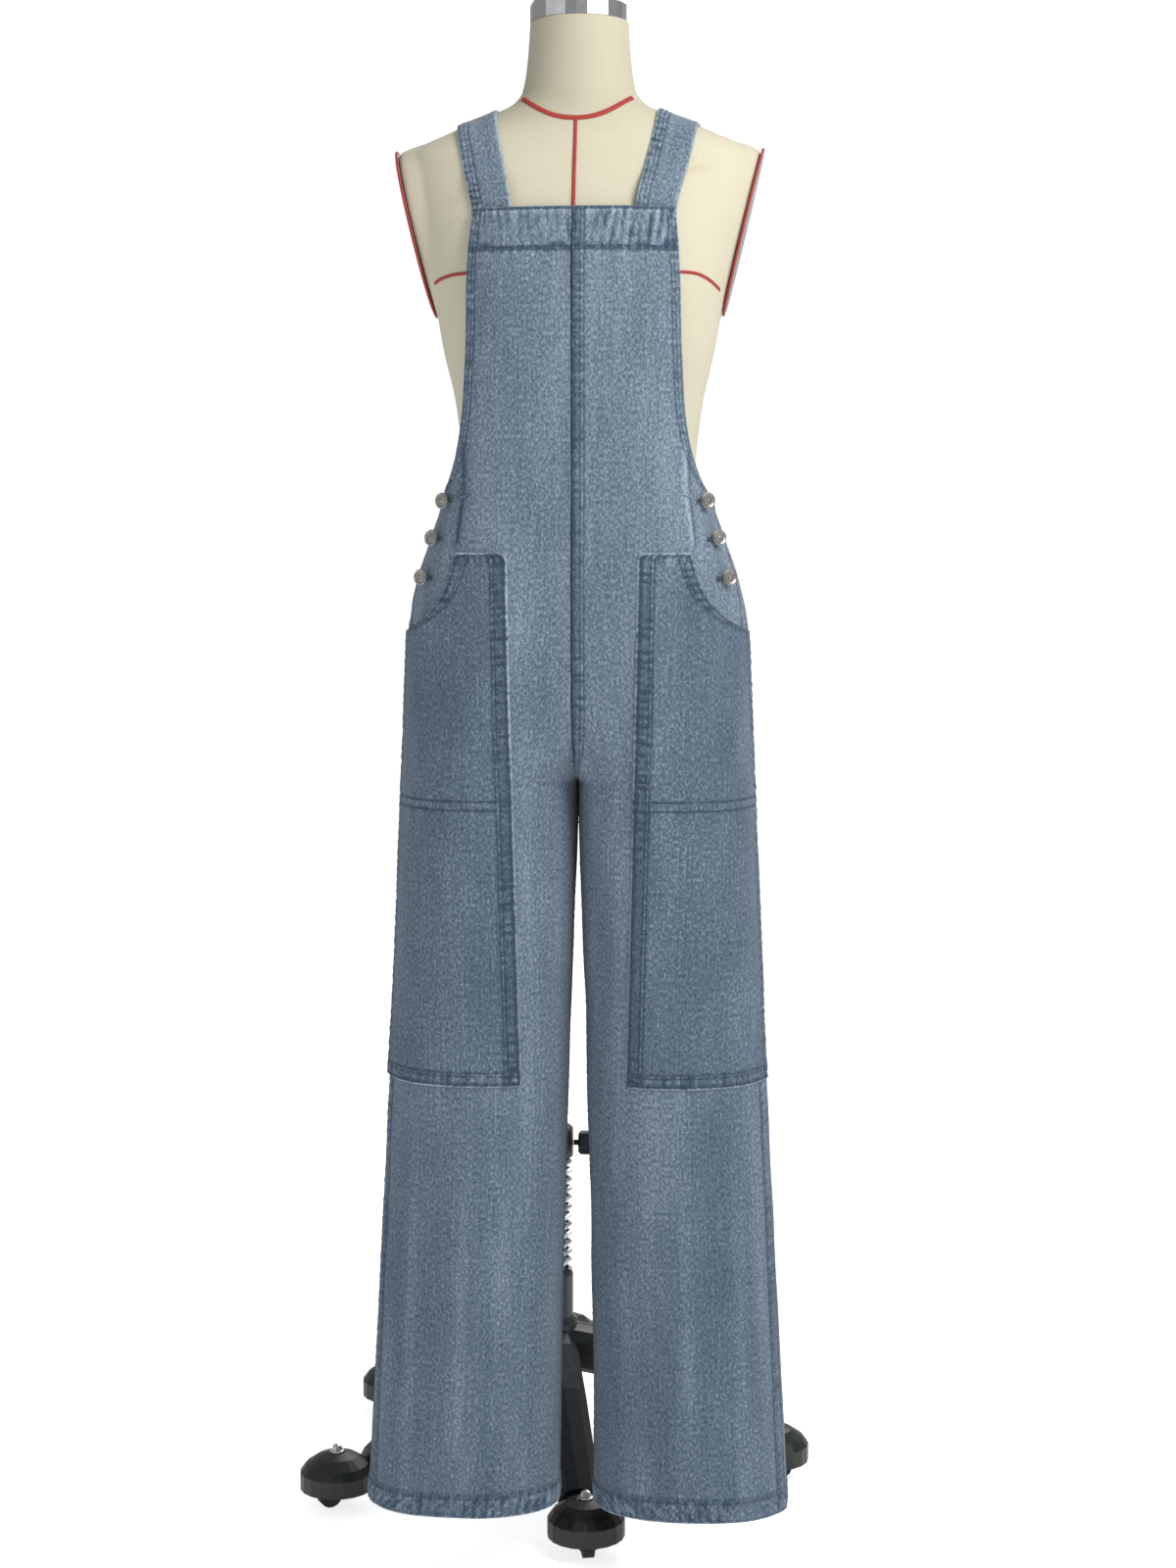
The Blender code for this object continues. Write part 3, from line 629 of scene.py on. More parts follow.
@dataclass
class ClothGrid:
    """A cloth piece as a grid: heights by distances across, with its relief and its trace."""

    name: str
    heights: np.ndarray
    span: Callable
    fractions: np.ndarray
    trim: float = 0.3
    from_end: bool = False
    reach: float = 240.0

    def __post_init__(self) -> None:
        """Lay the grid on the garment's skin, spread by true length along each ring."""
        start, end = self.span(self.heights)
        steps = np.linspace(0, 1, 260)
        angles = start[:, None] + (end - start)[:, None] * steps
        dense = SHAPE.point(self.heights[:, None], angles)
        pieces = np.linalg.norm(np.diff(dense, axis=1), axis=-1)
        run = np.concatenate([np.zeros((len(self.heights), 1)), np.cumsum(pieces, axis=1)], axis=1)
        length = run[:, -1:]
        along = self.trim + self.fractions[None, :] * (length - 2 * self.trim)
        rows = np.arange(len(self.heights))
        row_at = np.broadcast_to(rows[:, None], along.shape)
        self.points = row_interp(rows, run, dense, row_at, along)
        self.s = along
        self.relief = Relief(np.broadcast_to(self.heights[:, None], along.shape) * 1.0, along,
                             length - along, self.from_end, self.reach)
        self.normals = self.find_normals(self.points)

    @staticmethod
    def find_normals(points: np.ndarray) -> np.ndarray:
        """Outward unit normals: across the row times up the column."""
        return unit(np.cross(np.gradient(points, axis=1), np.gradient(points, axis=0)))

    def shape_up(self, lift: float = 0.0) -> None:
        """Move the points out by the lift and the relief."""
        self.points = self.points + self.normals * (self.relief.height + lift)[..., None]
        self.normals = self.find_normals(self.points)

    def trace(self, z: np.ndarray, s: np.ndarray) -> tuple:
        """Points and normals of the shaped cloth at heights z and distances s.

        Args:
            z: heights.
            s: distances from the start edge.

        Returns:
            Points and normals.
        """
        z, s = np.broadcast_arrays(np.asarray(z, float), np.asarray(s, float))
        rows = np.arange(len(self.heights))
        spot = np.interp(z, self.heights, rows)
        low = np.clip(np.floor(spot).astype(int), 0, len(rows) - 2)
        share = (spot - low)[..., None]
        both = np.concatenate([self.points, self.normals], axis=-1)
        here = (row_interp(rows, self.s, both, low, s) * (1 - share)
                + row_interp(rows, self.s, both, low + 1, s) * share)
        return here[..., :3], unit(here[..., 3:])

    def build(self, side: Side, wall: float, material: bpy.types.Material, node: str,
              slot: str) -> bpy.types.Object:
        """Make the piece in the frame, mirrored for the wearer's right.

        Args:
            side: the wearer's side.
            wall: thickness of the cloth.
            material: its finish.
            node: the node that it stands for.
            slot: not used.

        Returns:
            The object.
        """
        apart = 0 if side is Side.LEFT else 3.7
        thing = add_cloth(self.name, self.points, self.relief, apart, side, material)
        add_wall(thing, wall)
        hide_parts(node)
        return thing


def spread(count: int, edges: Sequence = ((0.0, 0.05), (1.0, 0.05)), fine: float = 1.6) -> np.ndarray:
    """Shares from 0 to 1 that lie closer together near some places.

    The density is 1 plus `fine` bell curves, and the shares are where its running sum reaches
    equal steps.

    Args:
        count: number of shares.
        edges: (place, width) of each finer zone.
        fine: extra density there.

    Returns:
        Rising shares.
    """
    line = np.linspace(0, 1, 2000)
    density = np.ones_like(line)
    for place, width in edges:
        density += fine * hump(line, place, width)
    run = np.concatenate([[0], np.cumsum((density[1:] + density[:-1]) / 2)])
    return np.interp(np.linspace(0, run[-1], count), run, line)


def heights_between(low: float, high: float, count: int, fine: Sequence = (),
                    strength: float = 2.0) -> np.ndarray:
    """Rising heights, closer together near some heights given with their widths."""
    places = [((z - low) / (high - low), w / (high - low)) for z, w in fine]
    return low + (high - low) * spread(count, places, strength)


@dataclass
class Thread:
    """Sewing thread: lays rows of stitches along traced lines and joins them into one mesh."""

    pitch: float = 3.6
    length: float = 2.5
    radius: float = 0.42
    sink: float = 0.05

    def row(self, points: np.ndarray, normals: np.ndarray) -> tuple:
        """Stitches along a line: spindles of four sides, one every pitch of its length.

        Args:
            points: dense points of the line.
            normals: outward normals there.

        Returns:
            Points and faces.
        """
        run = np.concatenate([[0], np.cumsum(np.linalg.norm(np.diff(points, axis=0), axis=1))])
        count = max(int(run[-1] / self.pitch), 1)
        at = (np.arange(count) + 0.5) * run[-1] / count
        pick = lambda v: np.stack([np.interp(at, run, v[:, k]) for k in range(3)], axis=-1)
        centre, out = pick(points), unit(pick(normals))
        along = unit(pick(np.gradient(points, axis=0)))
        across = np.cross(out, along)
        half, r = self.length / 2, self.radius
        corner = np.array([(-half, 0, -r), (-half * 0.55, r, 0), (-half * 0.55, 0, r * 1.2),
                           (-half * 0.55, -r, 0), (-half * 0.55, 0, -r), (half * 0.55, r, 0),
                           (half * 0.55, 0, r * 1.2), (half * 0.55, -r, 0), (half * 0.55, 0, -r),
                           (half, 0, -r)])
        body = (centre[:, None] + corner[None, :, :1] * along[:, None]
                + corner[None, :, 1:2] * across[:, None]
                + (corner[None, :, 2:] - self.sink) * out[:, None])
        quads = np.array([(1, 2, 6, 5), (2, 3, 7, 6), (3, 4, 8, 7), (4, 1, 5, 8)])
        tris = np.array([(0, 2, 1), (0, 3, 2), (0, 4, 3), (0, 1, 4),
                         (9, 5, 6), (9, 6, 7), (9, 7, 8), (9, 8, 5)])
        shift = (np.arange(count) * len(corner))[:, None, None]
        faces = [(quads + shift).reshape(-1, 4)[:, ::-1], (tris + shift).reshape(-1, 3)[:, ::-1]]
        return body.reshape(-1, 3), faces

    def build(self, name: str, rows: Sequence, side: Side,
              material: bpy.types.Material) -> bpy.types.Object:
        """Join rows of stitches into one piece on the wearer's side."""
        return add_mirrored(name, [self.row(*line) for line in rows], side, material)


# ---- materials --------------------------------------------------------------------
class NodeKit:
    """Short ways to add and join shader nodes in one tree."""

    def __init__(self, tree: bpy.types.NodeTree) -> None:
        """Keep the tree."""
        self.tree = tree

    def add(self, kind: str, values: Optional[dict] = None, **settings) -> bpy.types.Node:
        """Add a node, set its properties and its unlinked inputs, and join given sockets."""
        node = self.tree.nodes.new(kind)
        for key, setting in settings.items():
            setattr(node, key, setting)
        for key, value in (values or {}).items():
            socket = node.inputs[key]
            if isinstance(value, bpy.types.NodeSocket):
                self.tree.links.new(value, socket)
            else:
                socket.default_value = value
        return node

    def maths(self, operation: str, a, b=0.0, clamp: bool = False) -> bpy.types.NodeSocket:
        """A Math node's output."""
        node = self.add("ShaderNodeMath", {0: a, 1: b}, operation=operation, use_clamp=clamp)
        return node.outputs[0]

    def swing(self, value, size: float) -> bpy.types.NodeSocket:
        """A 0..1 value centred on nought and scaled."""
        return self.maths("MULTIPLY", self.maths("SUBTRACT", value, 0.5), size)

    def bump(self, shader: bpy.types.Node, height, strength: float, depth: float) -> None:
        """Join a height to a shader's Normal through a Bump node of a depth in metres."""
        node = self.add("ShaderNodeBump", {"Strength": strength, "Distance": depth, "Height": height})
        self.tree.links.new(node.outputs[0], shader.inputs["Normal"])

    def value_of(self, name: str) -> bpy.types.NodeSocket:
        """A vertex value of the piece."""
        return self.add("ShaderNodeAttribute", attribute_name=name).outputs["Fac"]

    def mix(self, factor, a, b) -> bpy.types.NodeSocket:
        """A colour Mix node's output."""
        node = self.add("ShaderNodeMix", {"Factor": factor}, data_type="RGBA")
        for key, value in ((6, a), (7, b)):
            if isinstance(value, bpy.types.NodeSocket):
                self.tree.links.new(value, node.inputs[key])
            else:
                node.inputs[key].default_value = (*value, 1.0) if len(value) == 3 else value
        return node.outputs[2]

    def noise(self, vector, scale, detail: float = 2.0, rough: float = 0.5) -> bpy.types.NodeSocket:
        """A Noise texture's value."""
        return self.add("ShaderNodeTexNoise", {"Vector": vector, "Scale": scale, "Detail": detail,
                                               "Roughness": rough}).outputs["Fac"]

    def stretched(self, vector, scale: Sequence) -> bpy.types.NodeSocket:
        """A vector scaled on each axis."""
        return self.add("ShaderNodeMapping", {"Vector": vector, "Scale": scale}).outputs[0]

    def ramp(self, factor, low: float, high: float) -> bpy.types.NodeSocket:
        """A value rescaled from low..high to 0..1 and clamped."""
        return self.add("ShaderNodeMapRange", {"Value": factor, "From Min": low,
                                               "From Max": high}).outputs[0]


def new_group(name: str, inputs: Sequence, outputs: Sequence) -> tuple:
    """Start a node group with named sockets.

    Args:
        name: the group's name.
        inputs: (name, socket type, default) of each input.
        outputs: (name, socket type) of each output.

    Returns:
        The group, its kit, its input node and its output node.
    """
    group = bpy.data.node_groups.new(name, "ShaderNodeTree")
    for label, kind, default in inputs:
        socket = group.interface.new_socket(label, in_out="INPUT", socket_type=kind)
        if default is not None:
            socket.default_value = default
    for label, kind in outputs:
        group.interface.new_socket(label, in_out="OUTPUT", socket_type=kind)
    kit = NodeKit(group)
    return group, kit, group.nodes.new("NodeGroupInput"), group.nodes.new("NodeGroupOutput")


FLOAT, VECTOR = "NodeSocketFloat", "NodeSocketVector"


def make_weave_group() -> bpy.types.NodeTree:
    """Woven grain: speckle, lengthwise streaks, slubs, slow mottling and a twill height."""
    group, kit, given, out = new_group(
        "woven_grain",
        [("Vector", VECTOR, None), ("Speckle", FLOAT, 430.0), ("Streak", FLOAT, 300.0),
         ("Mottle", FLOAT, 14.0), ("Twill", FLOAT, 900.0), ("Slant", FLOAT, 1.0)],
        [("Grain", FLOAT), ("Mottling", FLOAT), ("Height", FLOAT)])
    vector = given.outputs["Vector"]
    fine, streak, slub, slow = (
        kit.noise(kit.stretched(vector, stretch), given.outputs[scale], detail, rough)
        for stretch, scale, detail, rough in (
            ((1.0, 0.62, 1.0), "Speckle", 3.0, 0.7), ((1.0, 0.05, 1.0), "Streak", 2.0, 0.6),
            ((0.09, 1.0, 1.0), "Streak", 1.0, 0.5), ((1.0, 0.55, 1.0), "Mottle", 3.0, 0.55)))
    split = kit.add("ShaderNodeSeparateXYZ", {"Vector": vector})
    lean = kit.maths("MULTIPLY", split.outputs[1], given.outputs["Slant"])
    phase = kit.maths("MULTIPLY", kit.maths("ADD", split.outputs[0], lean), given.outputs["Twill"])
    twill = kit.maths("SINE", kit.maths("MULTIPLY", phase, 2 * math.pi))
    grain = kit.maths("ADD", kit.swing(fine, 2.3), kit.swing(streak, 0.45))
    grain = kit.maths("ADD", grain, kit.swing(slub, 0.12))
    height = kit.maths("ADD", kit.maths("MULTIPLY", twill, 0.35), fine)
    kit.tree.links.new(grain, out.inputs["Grain"])
    kit.tree.links.new(slow, out.inputs["Mottling"])
    kit.tree.links.new(height, out.inputs["Height"])
    return group


def make_scuff_group() -> bpy.types.NodeTree:
    """Handling marks on hard pieces: smudges, fine scratches and uneven roughness in Object coordinates.
    """
    group, kit, given, out = new_group(
        "handled_surface",
        [("Vector", VECTOR, None), ("Size", FLOAT, 60.0), ("Rough", FLOAT, 0.3), ("Spread", FLOAT, 0.2)],
        [("Smudge", FLOAT), ("Scratch", FLOAT), ("Roughness", FLOAT)])
    vector = given.outputs["Vector"]
    smudge = kit.noise(vector, given.outputs["Size"], 4.0, 0.6)
    fine = kit.noise(kit.stretched(vector, (1.0, 1.0, 0.06)), 900.0, 2.0, 0.7)
    scratch = kit.ramp(fine, 0.6, 0.72)
    rough = kit.maths("ADD", given.outputs["Rough"],
                      kit.maths("MULTIPLY", kit.maths("SUBTRACT", smudge, 0.5), given.outputs["Spread"]))
    kit.tree.links.new(smudge, out.inputs["Smudge"])
    kit.tree.links.new(scratch, out.inputs["Scratch"])
    kit.tree.links.new(rough, out.inputs["Roughness"])
    return group


class Groups:
    """The node groups that several materials share, built once."""

    weave = make_weave_group()
    scuff = make_scuff_group()


def start_material(name: str) -> tuple:
    """A node material with its kit and Principled shader."""
    material = bpy.data.materials.new(name)
    material.use_nodes = True
    kit = NodeKit(material.node_tree)
    return material, kit, material.node_tree.nodes["Principled BSDF"]


def pair(colour: Sequence, dark: float, light: float) -> tuple:
    """A darker and a lighter version of a colour."""
    return tuple(v * dark for v in colour), tuple(min(v * light, 1) for v in colour)


@dataclass(frozen=True)
class Denim:
    """Washed denim twill: pale weft speckle over indigo, worn ridges with some painted highlight, and
    dips darkened by painted shade.
    """

    name: str = "washed_denim"
    deep: tuple = (0.050, 0.082, 0.125)
    middle: tuple = (0.142, 0.193, 0.251)
    pale: tuple = (0.40, 0.485, 0.56)
    sheen: float = 0.12

    def material(self) -> bpy.types.Material:
        """Build the material."""
        material, kit, shader = start_material(self.name)
        uv = kit.add("ShaderNodeUVMap", uv_map="cloth").outputs[0]
        # the wear value holds worn ridges and some painted highlight; the dark value is mostly painted
        # shade in dips, grooves and under edges
        wear_and_highlight, dark = kit.value_of("wear_and_highlight"), kit.value_of("dark")
        weave = kit.add("ShaderNodeGroup", {"Vector": uv}, node_tree=Groups.weave)
        slow = kit.swing(weave.outputs["Mottling"], 0.5)
        tone = kit.maths("ADD", kit.maths("MULTIPLY", weave.outputs["Grain"], 1.15), slow)
        # painted highlight and wear lighten the tone, painted shade darkens it
        tone = kit.maths("ADD", tone, kit.maths("MULTIPLY", wear_and_highlight, 0.85))
        tone = kit.maths("SUBTRACT", tone, kit.maths("MULTIPLY", dark, 0.95))
        up = kit.maths("ADD", tone, 0.0, clamp=True)
        down = kit.maths("MULTIPLY", tone, -1.0, clamp=True)
        colour = kit.mix(kit.maths("MULTIPLY", up, 1.25, clamp=True), self.middle, self.pale)
        colour = kit.mix(kit.maths("MULTIPLY", down, 1.5, clamp=True), colour, self.deep)
        kit.tree.links.new(colour, shader.inputs["Base Color"])
        kit.bump(shader, weave.outputs["Height"], 0.35, 0.0006)
        shader.inputs["Roughness"].default_value = 0.88
        shader.inputs["Specular IOR Level"].default_value = 0.18
        shader.inputs["Sheen Weight"].default_value = self.sheen
        shader.inputs["Sheen Roughness"].default_value = 0.5
        return material


@dataclass(frozen=True)
class Linen:
    """Cream linen canvas of the dress form, with faint stains and painted shade on the neck."""

    name: str = "cream_linen"
    base: tuple = (0.68, 0.64, 0.49)
    stain: tuple = (0.56, 0.44, 0.27)
    shaded: tuple = (0.30, 0.27, 0.19)

    def material(self) -> bpy.types.Material:
        """Build the material."""
        material, kit, shader = start_material(self.name)
        uv = kit.add("ShaderNodeUVMap", uv_map="cloth").outputs[0]
        weave = kit.add("ShaderNodeGroup", {"Vector": uv, "Speckle": 520.0, "Streak": 420.0,
                                            "Mottle": 9.0, "Twill": 800.0, "Slant": 0.0},
                        node_tree=Groups.weave)
        tone = kit.maths("ADD", 0.5, kit.maths("MULTIPLY", weave.outputs["Grain"], 0.22))
        tone = kit.maths("ADD", tone, kit.swing(weave.outputs["Mottling"], 0.35), clamp=True)
        colour = kit.mix(tone, *pair(self.base, 0.88, 1.1))
        patches = kit.ramp(kit.noise(uv, 60.0, 4.0, 0.65), 0.35, 0.75)
        colour = kit.mix(kit.maths("MULTIPLY", kit.value_of("stain"), patches), colour, self.stain)
        colour = kit.mix(kit.value_of("shade"), colour, self.shaded)
        kit.tree.links.new(colour, shader.inputs["Base Color"])
        kit.bump(shader, weave.outputs["Height"], 0.3, 0.0005)
        shader.inputs["Roughness"].default_value = 0.9
        shader.inputs["Specular IOR Level"].default_value = 0.15
        shader.inputs["Sheen Weight"].default_value = 0.08
        return material


@dataclass(frozen=True)
class Hard:
    """A hard finish: metal, enamel or moulded plastic with handling marks."""

    name: str
    base: tuple
    worn: tuple
    rough: float = 0.35
    spread: float = 0.18
    metallic: float = 0.0
    bump: float = 0.08
    marks: float = 0.35
    size: float = 60.0

    def material(self) -> bpy.types.Material:
        """Build the material."""
        material, kit, shader = start_material(self.name)
        place = kit.add("ShaderNodeTexCoord").outputs["Object"]
        scuff = kit.add("ShaderNodeGroup", {"Vector": place, "Size": self.size, "Rough": self.rough,
                                            "Spread": self.spread}, node_tree=Groups.scuff)
        blotch = kit.ramp(scuff.outputs["Smudge"], 0.35, 0.75)
        colour = kit.mix(kit.maths("MULTIPLY", blotch, self.marks), self.base, self.worn)
        scratch = kit.maths("MULTIPLY", scuff.outputs["Scratch"], self.marks * 0.6)
        colour = kit.mix(scratch, colour, self.worn)
        kit.tree.links.new(colour, shader.inputs["Base Color"])
        kit.tree.links.new(scuff.outputs["Roughness"], shader.inputs["Roughness"])
        kit.bump(shader, scuff.outputs["Smudge"], self.bump, 0.001)
        shader.inputs["Metallic"].default_value = self.metallic
        return material


@dataclass(frozen=True)
class Tape:
    """Narrow woven tape or sewing thread, one dyed colour with a fine rib."""

    name: str
    base: tuple
    rough: float = 0.75

    def material(self) -> bpy.types.Material:
        """Build the material."""
        material, kit, shader = start_material(self.name)
        place = kit.add("ShaderNodeTexCoord").outputs["Object"]
        fleck = kit.noise(place, 700.0, 2.0, 0.6)
        colour = kit.mix(fleck, *pair(self.base, 0.72, 1.25))
        kit.tree.links.new(colour, shader.inputs["Base Color"])
        kit.bump(shader, fleck, 0.3, 0.0004)
        shader.inputs["Roughness"].default_value = self.rough
        return material


# ---- the dungarees ----------------------------------------------------------------
@dataclass
class Garment:
    """The sewn panels and patches with their stitches; the straps borrow its denim, thread and stitches.
    """

    denim: bpy.types.Material
    patch_denim: bpy.types.Material
    navy: bpy.types.Material
    wall: float = 1.8
    patch_lift: float = 2.3
    hem_band: float = 21.0
    yoke_foot: float = 1040.0
    yoke_slope: float = 0.10
    patch_foot: float = 504.0
    patch_top: float = 1027.0
    knee_line: float = 786.0
    stitches: Thread = field(default_factory=Thread)

    def front(self, side: Side) -> ClothGrid:
        """Front panel: felled centre seam, bib hem, side opening flap, side seam and hem."""
        hem, top = SHAPE.hem, SHAPE.bib_top
        heights = heights_between(hem, top, 470, ((hem, 24), (top - 41, 40), (top, 14), (800, 30)), 1.6)
        grid = ClothGrid("denim_front_" + side.word, heights, SHAPE.front_span,
                         spread(96, ((0.0, 0.06), (1.0, 0.07)), 1.8), 0.1, True)
        r, z, s, t, u = grid.relief, grid.relief.z, grid.relief.s, grid.relief.t, grid.relief.u
        seed = 11 if side is Side.LEFT else 57
        body, leg = smooth(z, 800, 830), 1 - smooth(z, 780, 810)
        # centre front: a flat fell on the wearer's left, its mate dips beside it
        if side is Side.LEFT:
            r.band(s, z, 9.5, 0.8, seed, 0.45, 8.0, 5.0, body)
            # painted shade along the seam's crack; the fell band is a little darker
            r.dark += 0.85 * hump(s, 0.3, 1.1) * body + 0.30 * (1 - smooth(s, 8, 10)) * body
        else:
            r.line(s, z, seed, 0.9, 0.22, 7.0, 6.0, body)
            # painted shade along the seam's crack beside the dip
            r.dark += 0.75 * hump(s, 0.2, 1.0) * body
        # legs: inseam with a low felled band
        r.band(s, z, 8.0, 0.5, seed + 1, 0.32, 8.0, 5.0, leg)
        # painted shade along the inseam's crack
        r.dark += 0.5 * hump(s, 0.2, 1.3) * leg
        # side seam: double band with a worn ridge below the opening
        low = 1 - smooth(z, 955, 975)
        r.band(t, z, 15.0, 1.0, seed + 2, 0.45, 9.0, 6.0, low)
        # painted shade along the side seam's crack and just past its band
        r.dark += (0.6 * hump(t, 0.2, 1.2) + 0.5 * hump(t, 17.0, 1.8)) * low
        r.wear_and_highlight += 0.3 * hump(t, 14.5, 1.6) * low
        # buttoned flap beside the opening
        flap = smooth(z, 962, 980) * (1 - smooth(z, 1076, 1086))
        r.height += 1.6 * flap * (1 - smooth(t, 16, 30))
        r.band(t, z, 15.0, 0.35, seed + 3, 0.3, 9.0, 6.0, flap)
        # bib: side hems, turned top hem with its second row, scalloped puckers
        bib = smooth(z, 1080, 1092)
        r.band(t, z, 8.0, 0.55, seed + 4, 0.35, 8.0, 4.0, bib)
        drop = top - z
        centre_free = smooth(s, 9, 12) if side is Side.LEFT else 1.0
        r.band(drop, s, 41.0, 0.0, seed + 5, 0.30, 9.0, 3.0)
        r.height += 0.55 * (1 - smooth(drop, 39.5, 41.5)) * centre_free
        wave = r.ripple(s, drop, 7.5, seed + 6)
        lip = 1 - smooth(drop, 5, 17)
        r.height += 0.55 * wave * lip
        # painted shade in the pucker dips and just under the top edge
        r.dark += 0.9 * np.clip(-wave - 0.05, 0, 1) * lip + 0.7 * hump(drop, 1.5, 1.6)
        r.wear_and_highlight += 0.55 * np.clip(wave, 0, 1) * lip + 0.35 * hump(drop, 5, 3)
        under = hump(drop, 45, 6.0)
        wave2 = r.ripple(s, drop, 8.5, seed + 9)
        r.height += 0.5 * wave2 * under
        r.wear_and_highlight += 0.5 * np.clip(wave2, 0, 1) * under
        # painted shade under the hem's fold and in the pucker dips below it
        r.dark += 0.7 * hump(drop, 40.8, 1.5) + 0.5 * np.clip(-wave2 - 0.1, 0, 1) * hump(drop, 42, 4)
        # darker spots just above the hem's fold line
        dark_spots = {Side.RIGHT: ((108, 37, 6), (84, 38, 5), (14, 38, 8)),
                 Side.LEFT: ((68, 38, 8), (93, 39, 5), (6, 39, 5))}
        for place, deep, size in dark_spots[side]:
            r.dark += 0.8 * hump(s, place, size) * hump(drop, deep, 3.2)
        # darts of shading from the bib's foot down to the patches: front turns to side; on the wearer's
        # right a groove with painted shade, on the left a ridge with a painted highlight and painted
        # shade beside it
        groove_z = smooth(z, 1028, 1040) * (1 - smooth(z, 1100, 1150))
        away = s - np.interp(z, (1028, 1080, 1148), (119, 113, 108))
        if side is Side.RIGHT:
            r.height -= 2.6 * hump(away, 0, 3.4) * groove_z
            r.dark += 0.85 * hump(away, 0, 2.4) * groove_z
        else:
            r.height += 1.8 * hump(away, 0, 4.0) * groove_z
            # painted highlight on the ridge
            r.wear_and_highlight += 0.5 * hump(away, 0, 2.6) * groove_z
            r.dark += 0.5 * hump(away, 5, 2.6) * groove_z
        self.hem(r, seed)
        self.front_folds(r, side)
        self.drape(r, u, seed, 48)
        r.wear_and_highlight += 0.10
        self.pale_legs(r)
        r.edge_roll(drop)
        r.edge_roll(z - hem, 0.8)
        r.edge_roll(t + 6 * (1 - bib))
        grid.shape_up()
        return grid

    def hem(self, r: Relief, seed: int) -> None:
        """Leg hem: a turned band whose rolled twist ropes its cloth into slanted ridges, with worn
        crests and painted shade in the troughs.
        """
        up = r.z - SHAPE.hem
        r.band(up, r.s, self.hem_band, 0.9, seed + 30, 0.3, 9.0, 5.0)
        inside = smooth(up, 1, 4) * (1 - smooth(up, self.hem_band - 4, self.hem_band + 1))
        ropes = r.ripple(r.u + up * 0.9, up, 9.0, seed + 31)
        r.height += 0.75 * ropes * inside
        r.wear_and_highlight += 0.42 * np.clip(ropes, 0, 1) * inside + 0.25 * hump(up, 1.5, 2.0)
        # painted shade in the troughs between the ropes
        r.dark += 0.5 * np.clip(-ropes, 0, 1) * inside

    @staticmethod
    def drape(r: Relief, across: np.ndarray, seed: int, broad: float) -> None:
        """Slow unevenness of hanging cloth: a broad and a finer noise in height, one in wear."""
        r.height += (0.9 * noise(across / broad, r.z / 95, seed + 20)
                     + 0.45 * noise(across / 21, r.z / 52, seed + 21))
        r.wear_and_highlight += 0.12 * noise(across / 30, r.z / 160, seed + 22)

    @staticmethod
    def pale_legs(r: Relief) -> None:
        """Lengthwise streaks of wash, strongest on the shins, which are a shade darker."""
        low = 1 - smooth(r.z, 120, 760)
        r.dark += 0.25 * low
        r.wear_and_highlight += 0.17 * noise(r.u / 13, r.z / 260, 91) * (0.35 + 0.65 * low)

    @staticmethod
    def front_folds(r: Relief, side: Side) -> None:
        """Long soft folds of the wide legs and of the bib, each side with its own."""
        folds = {
            Side.RIGHT: ((490, 74, 0.34, 0.28, 17, 5.0), (520, 130, 0.64, 0.72, 16, 4.2),
                         (360, 60, 0.50, 0.46, 13, -3.4), (790, 500, 0.22, 0.20, 15, 2.2),
                         (930, 690, 0.30, 0.16, 13, 1.8), (760, 560, 0.66, 0.72, 16, 1.8),
                         (1325, 1180, 0.50, 0.62, 9, 1.3), (1290, 1120, 0.86, 0.72, 8, 1.2),
                         (1180, 1050, 0.30, 0.22, 11, 1.3)),
            Side.LEFT: ((500, 74, 0.26, 0.36, 18, 5.0), (560, 130, 0.68, 0.58, 16, 4.2),
                        (340, 60, 0.84, 0.76, 13, -3.2), (790, 520, 0.12, 0.22, 16, 2.8),
                        (920, 700, 0.34, 0.24, 14, 2.0), (770, 540, 0.52, 0.50, 15, 1.7),
                        (1330, 1150, 0.42, 0.36, 10, 1.3), (1305, 1110, 0.80, 0.66, 9, 1.5),
                        (1160, 1045, 0.28, 0.18, 10, 1.2)),
        }
        for crease in folds[side]:
            r.crease(*crease)

    def back(self, side: Side) -> ClothGrid:
        """Back panel: centre back seam, yoke line, seat folds, underlay and hem."""
        hem, top, yoke_foot = SHAPE.hem, SHAPE.back_top, self.yoke_foot
        heights = heights_between(hem, top, 430, ((hem, 24), (top, 14), (yoke_foot, 14)), 1.6)
        grid = ClothGrid("denim_back_" + side.word, heights, SHAPE.back_span,
                         spread(84, ((0.0, 0.07), (1.0, 0.06)), 1.6), 0.1)
        r, z, s, t = grid.relief, grid.relief.z, grid.relief.s, grid.relief.t
        seed = 211 if side is Side.LEFT else 257
        body, leg = smooth(z, 800, 830), 1 - smooth(z, 780, 810)
        if side is Side.LEFT:
            r.band(t, z, 9.5, 0.8, seed, 0.45, 8.0, 5.0, body)
            # painted shade along the seam's crack
            r.dark += 0.8 * hump(t, 0.3, 1.1) * body
        else:
            r.line(t, z, seed, 0.8, 0.22, 7.0, 6.0, body)
        r.line(t, z, seed + 1, 0.7, 0.26, 8.0, 6.0, leg)
        low = 1 - smooth(z, 955, 975)
        r.line(s, z, seed + 2, 0.7, 0.3, 9.0, 7.0, low)
        under = SHAPE.underlay(z)
        r.height -= 1.5 * under * (1 - smooth(s, 22, 34))
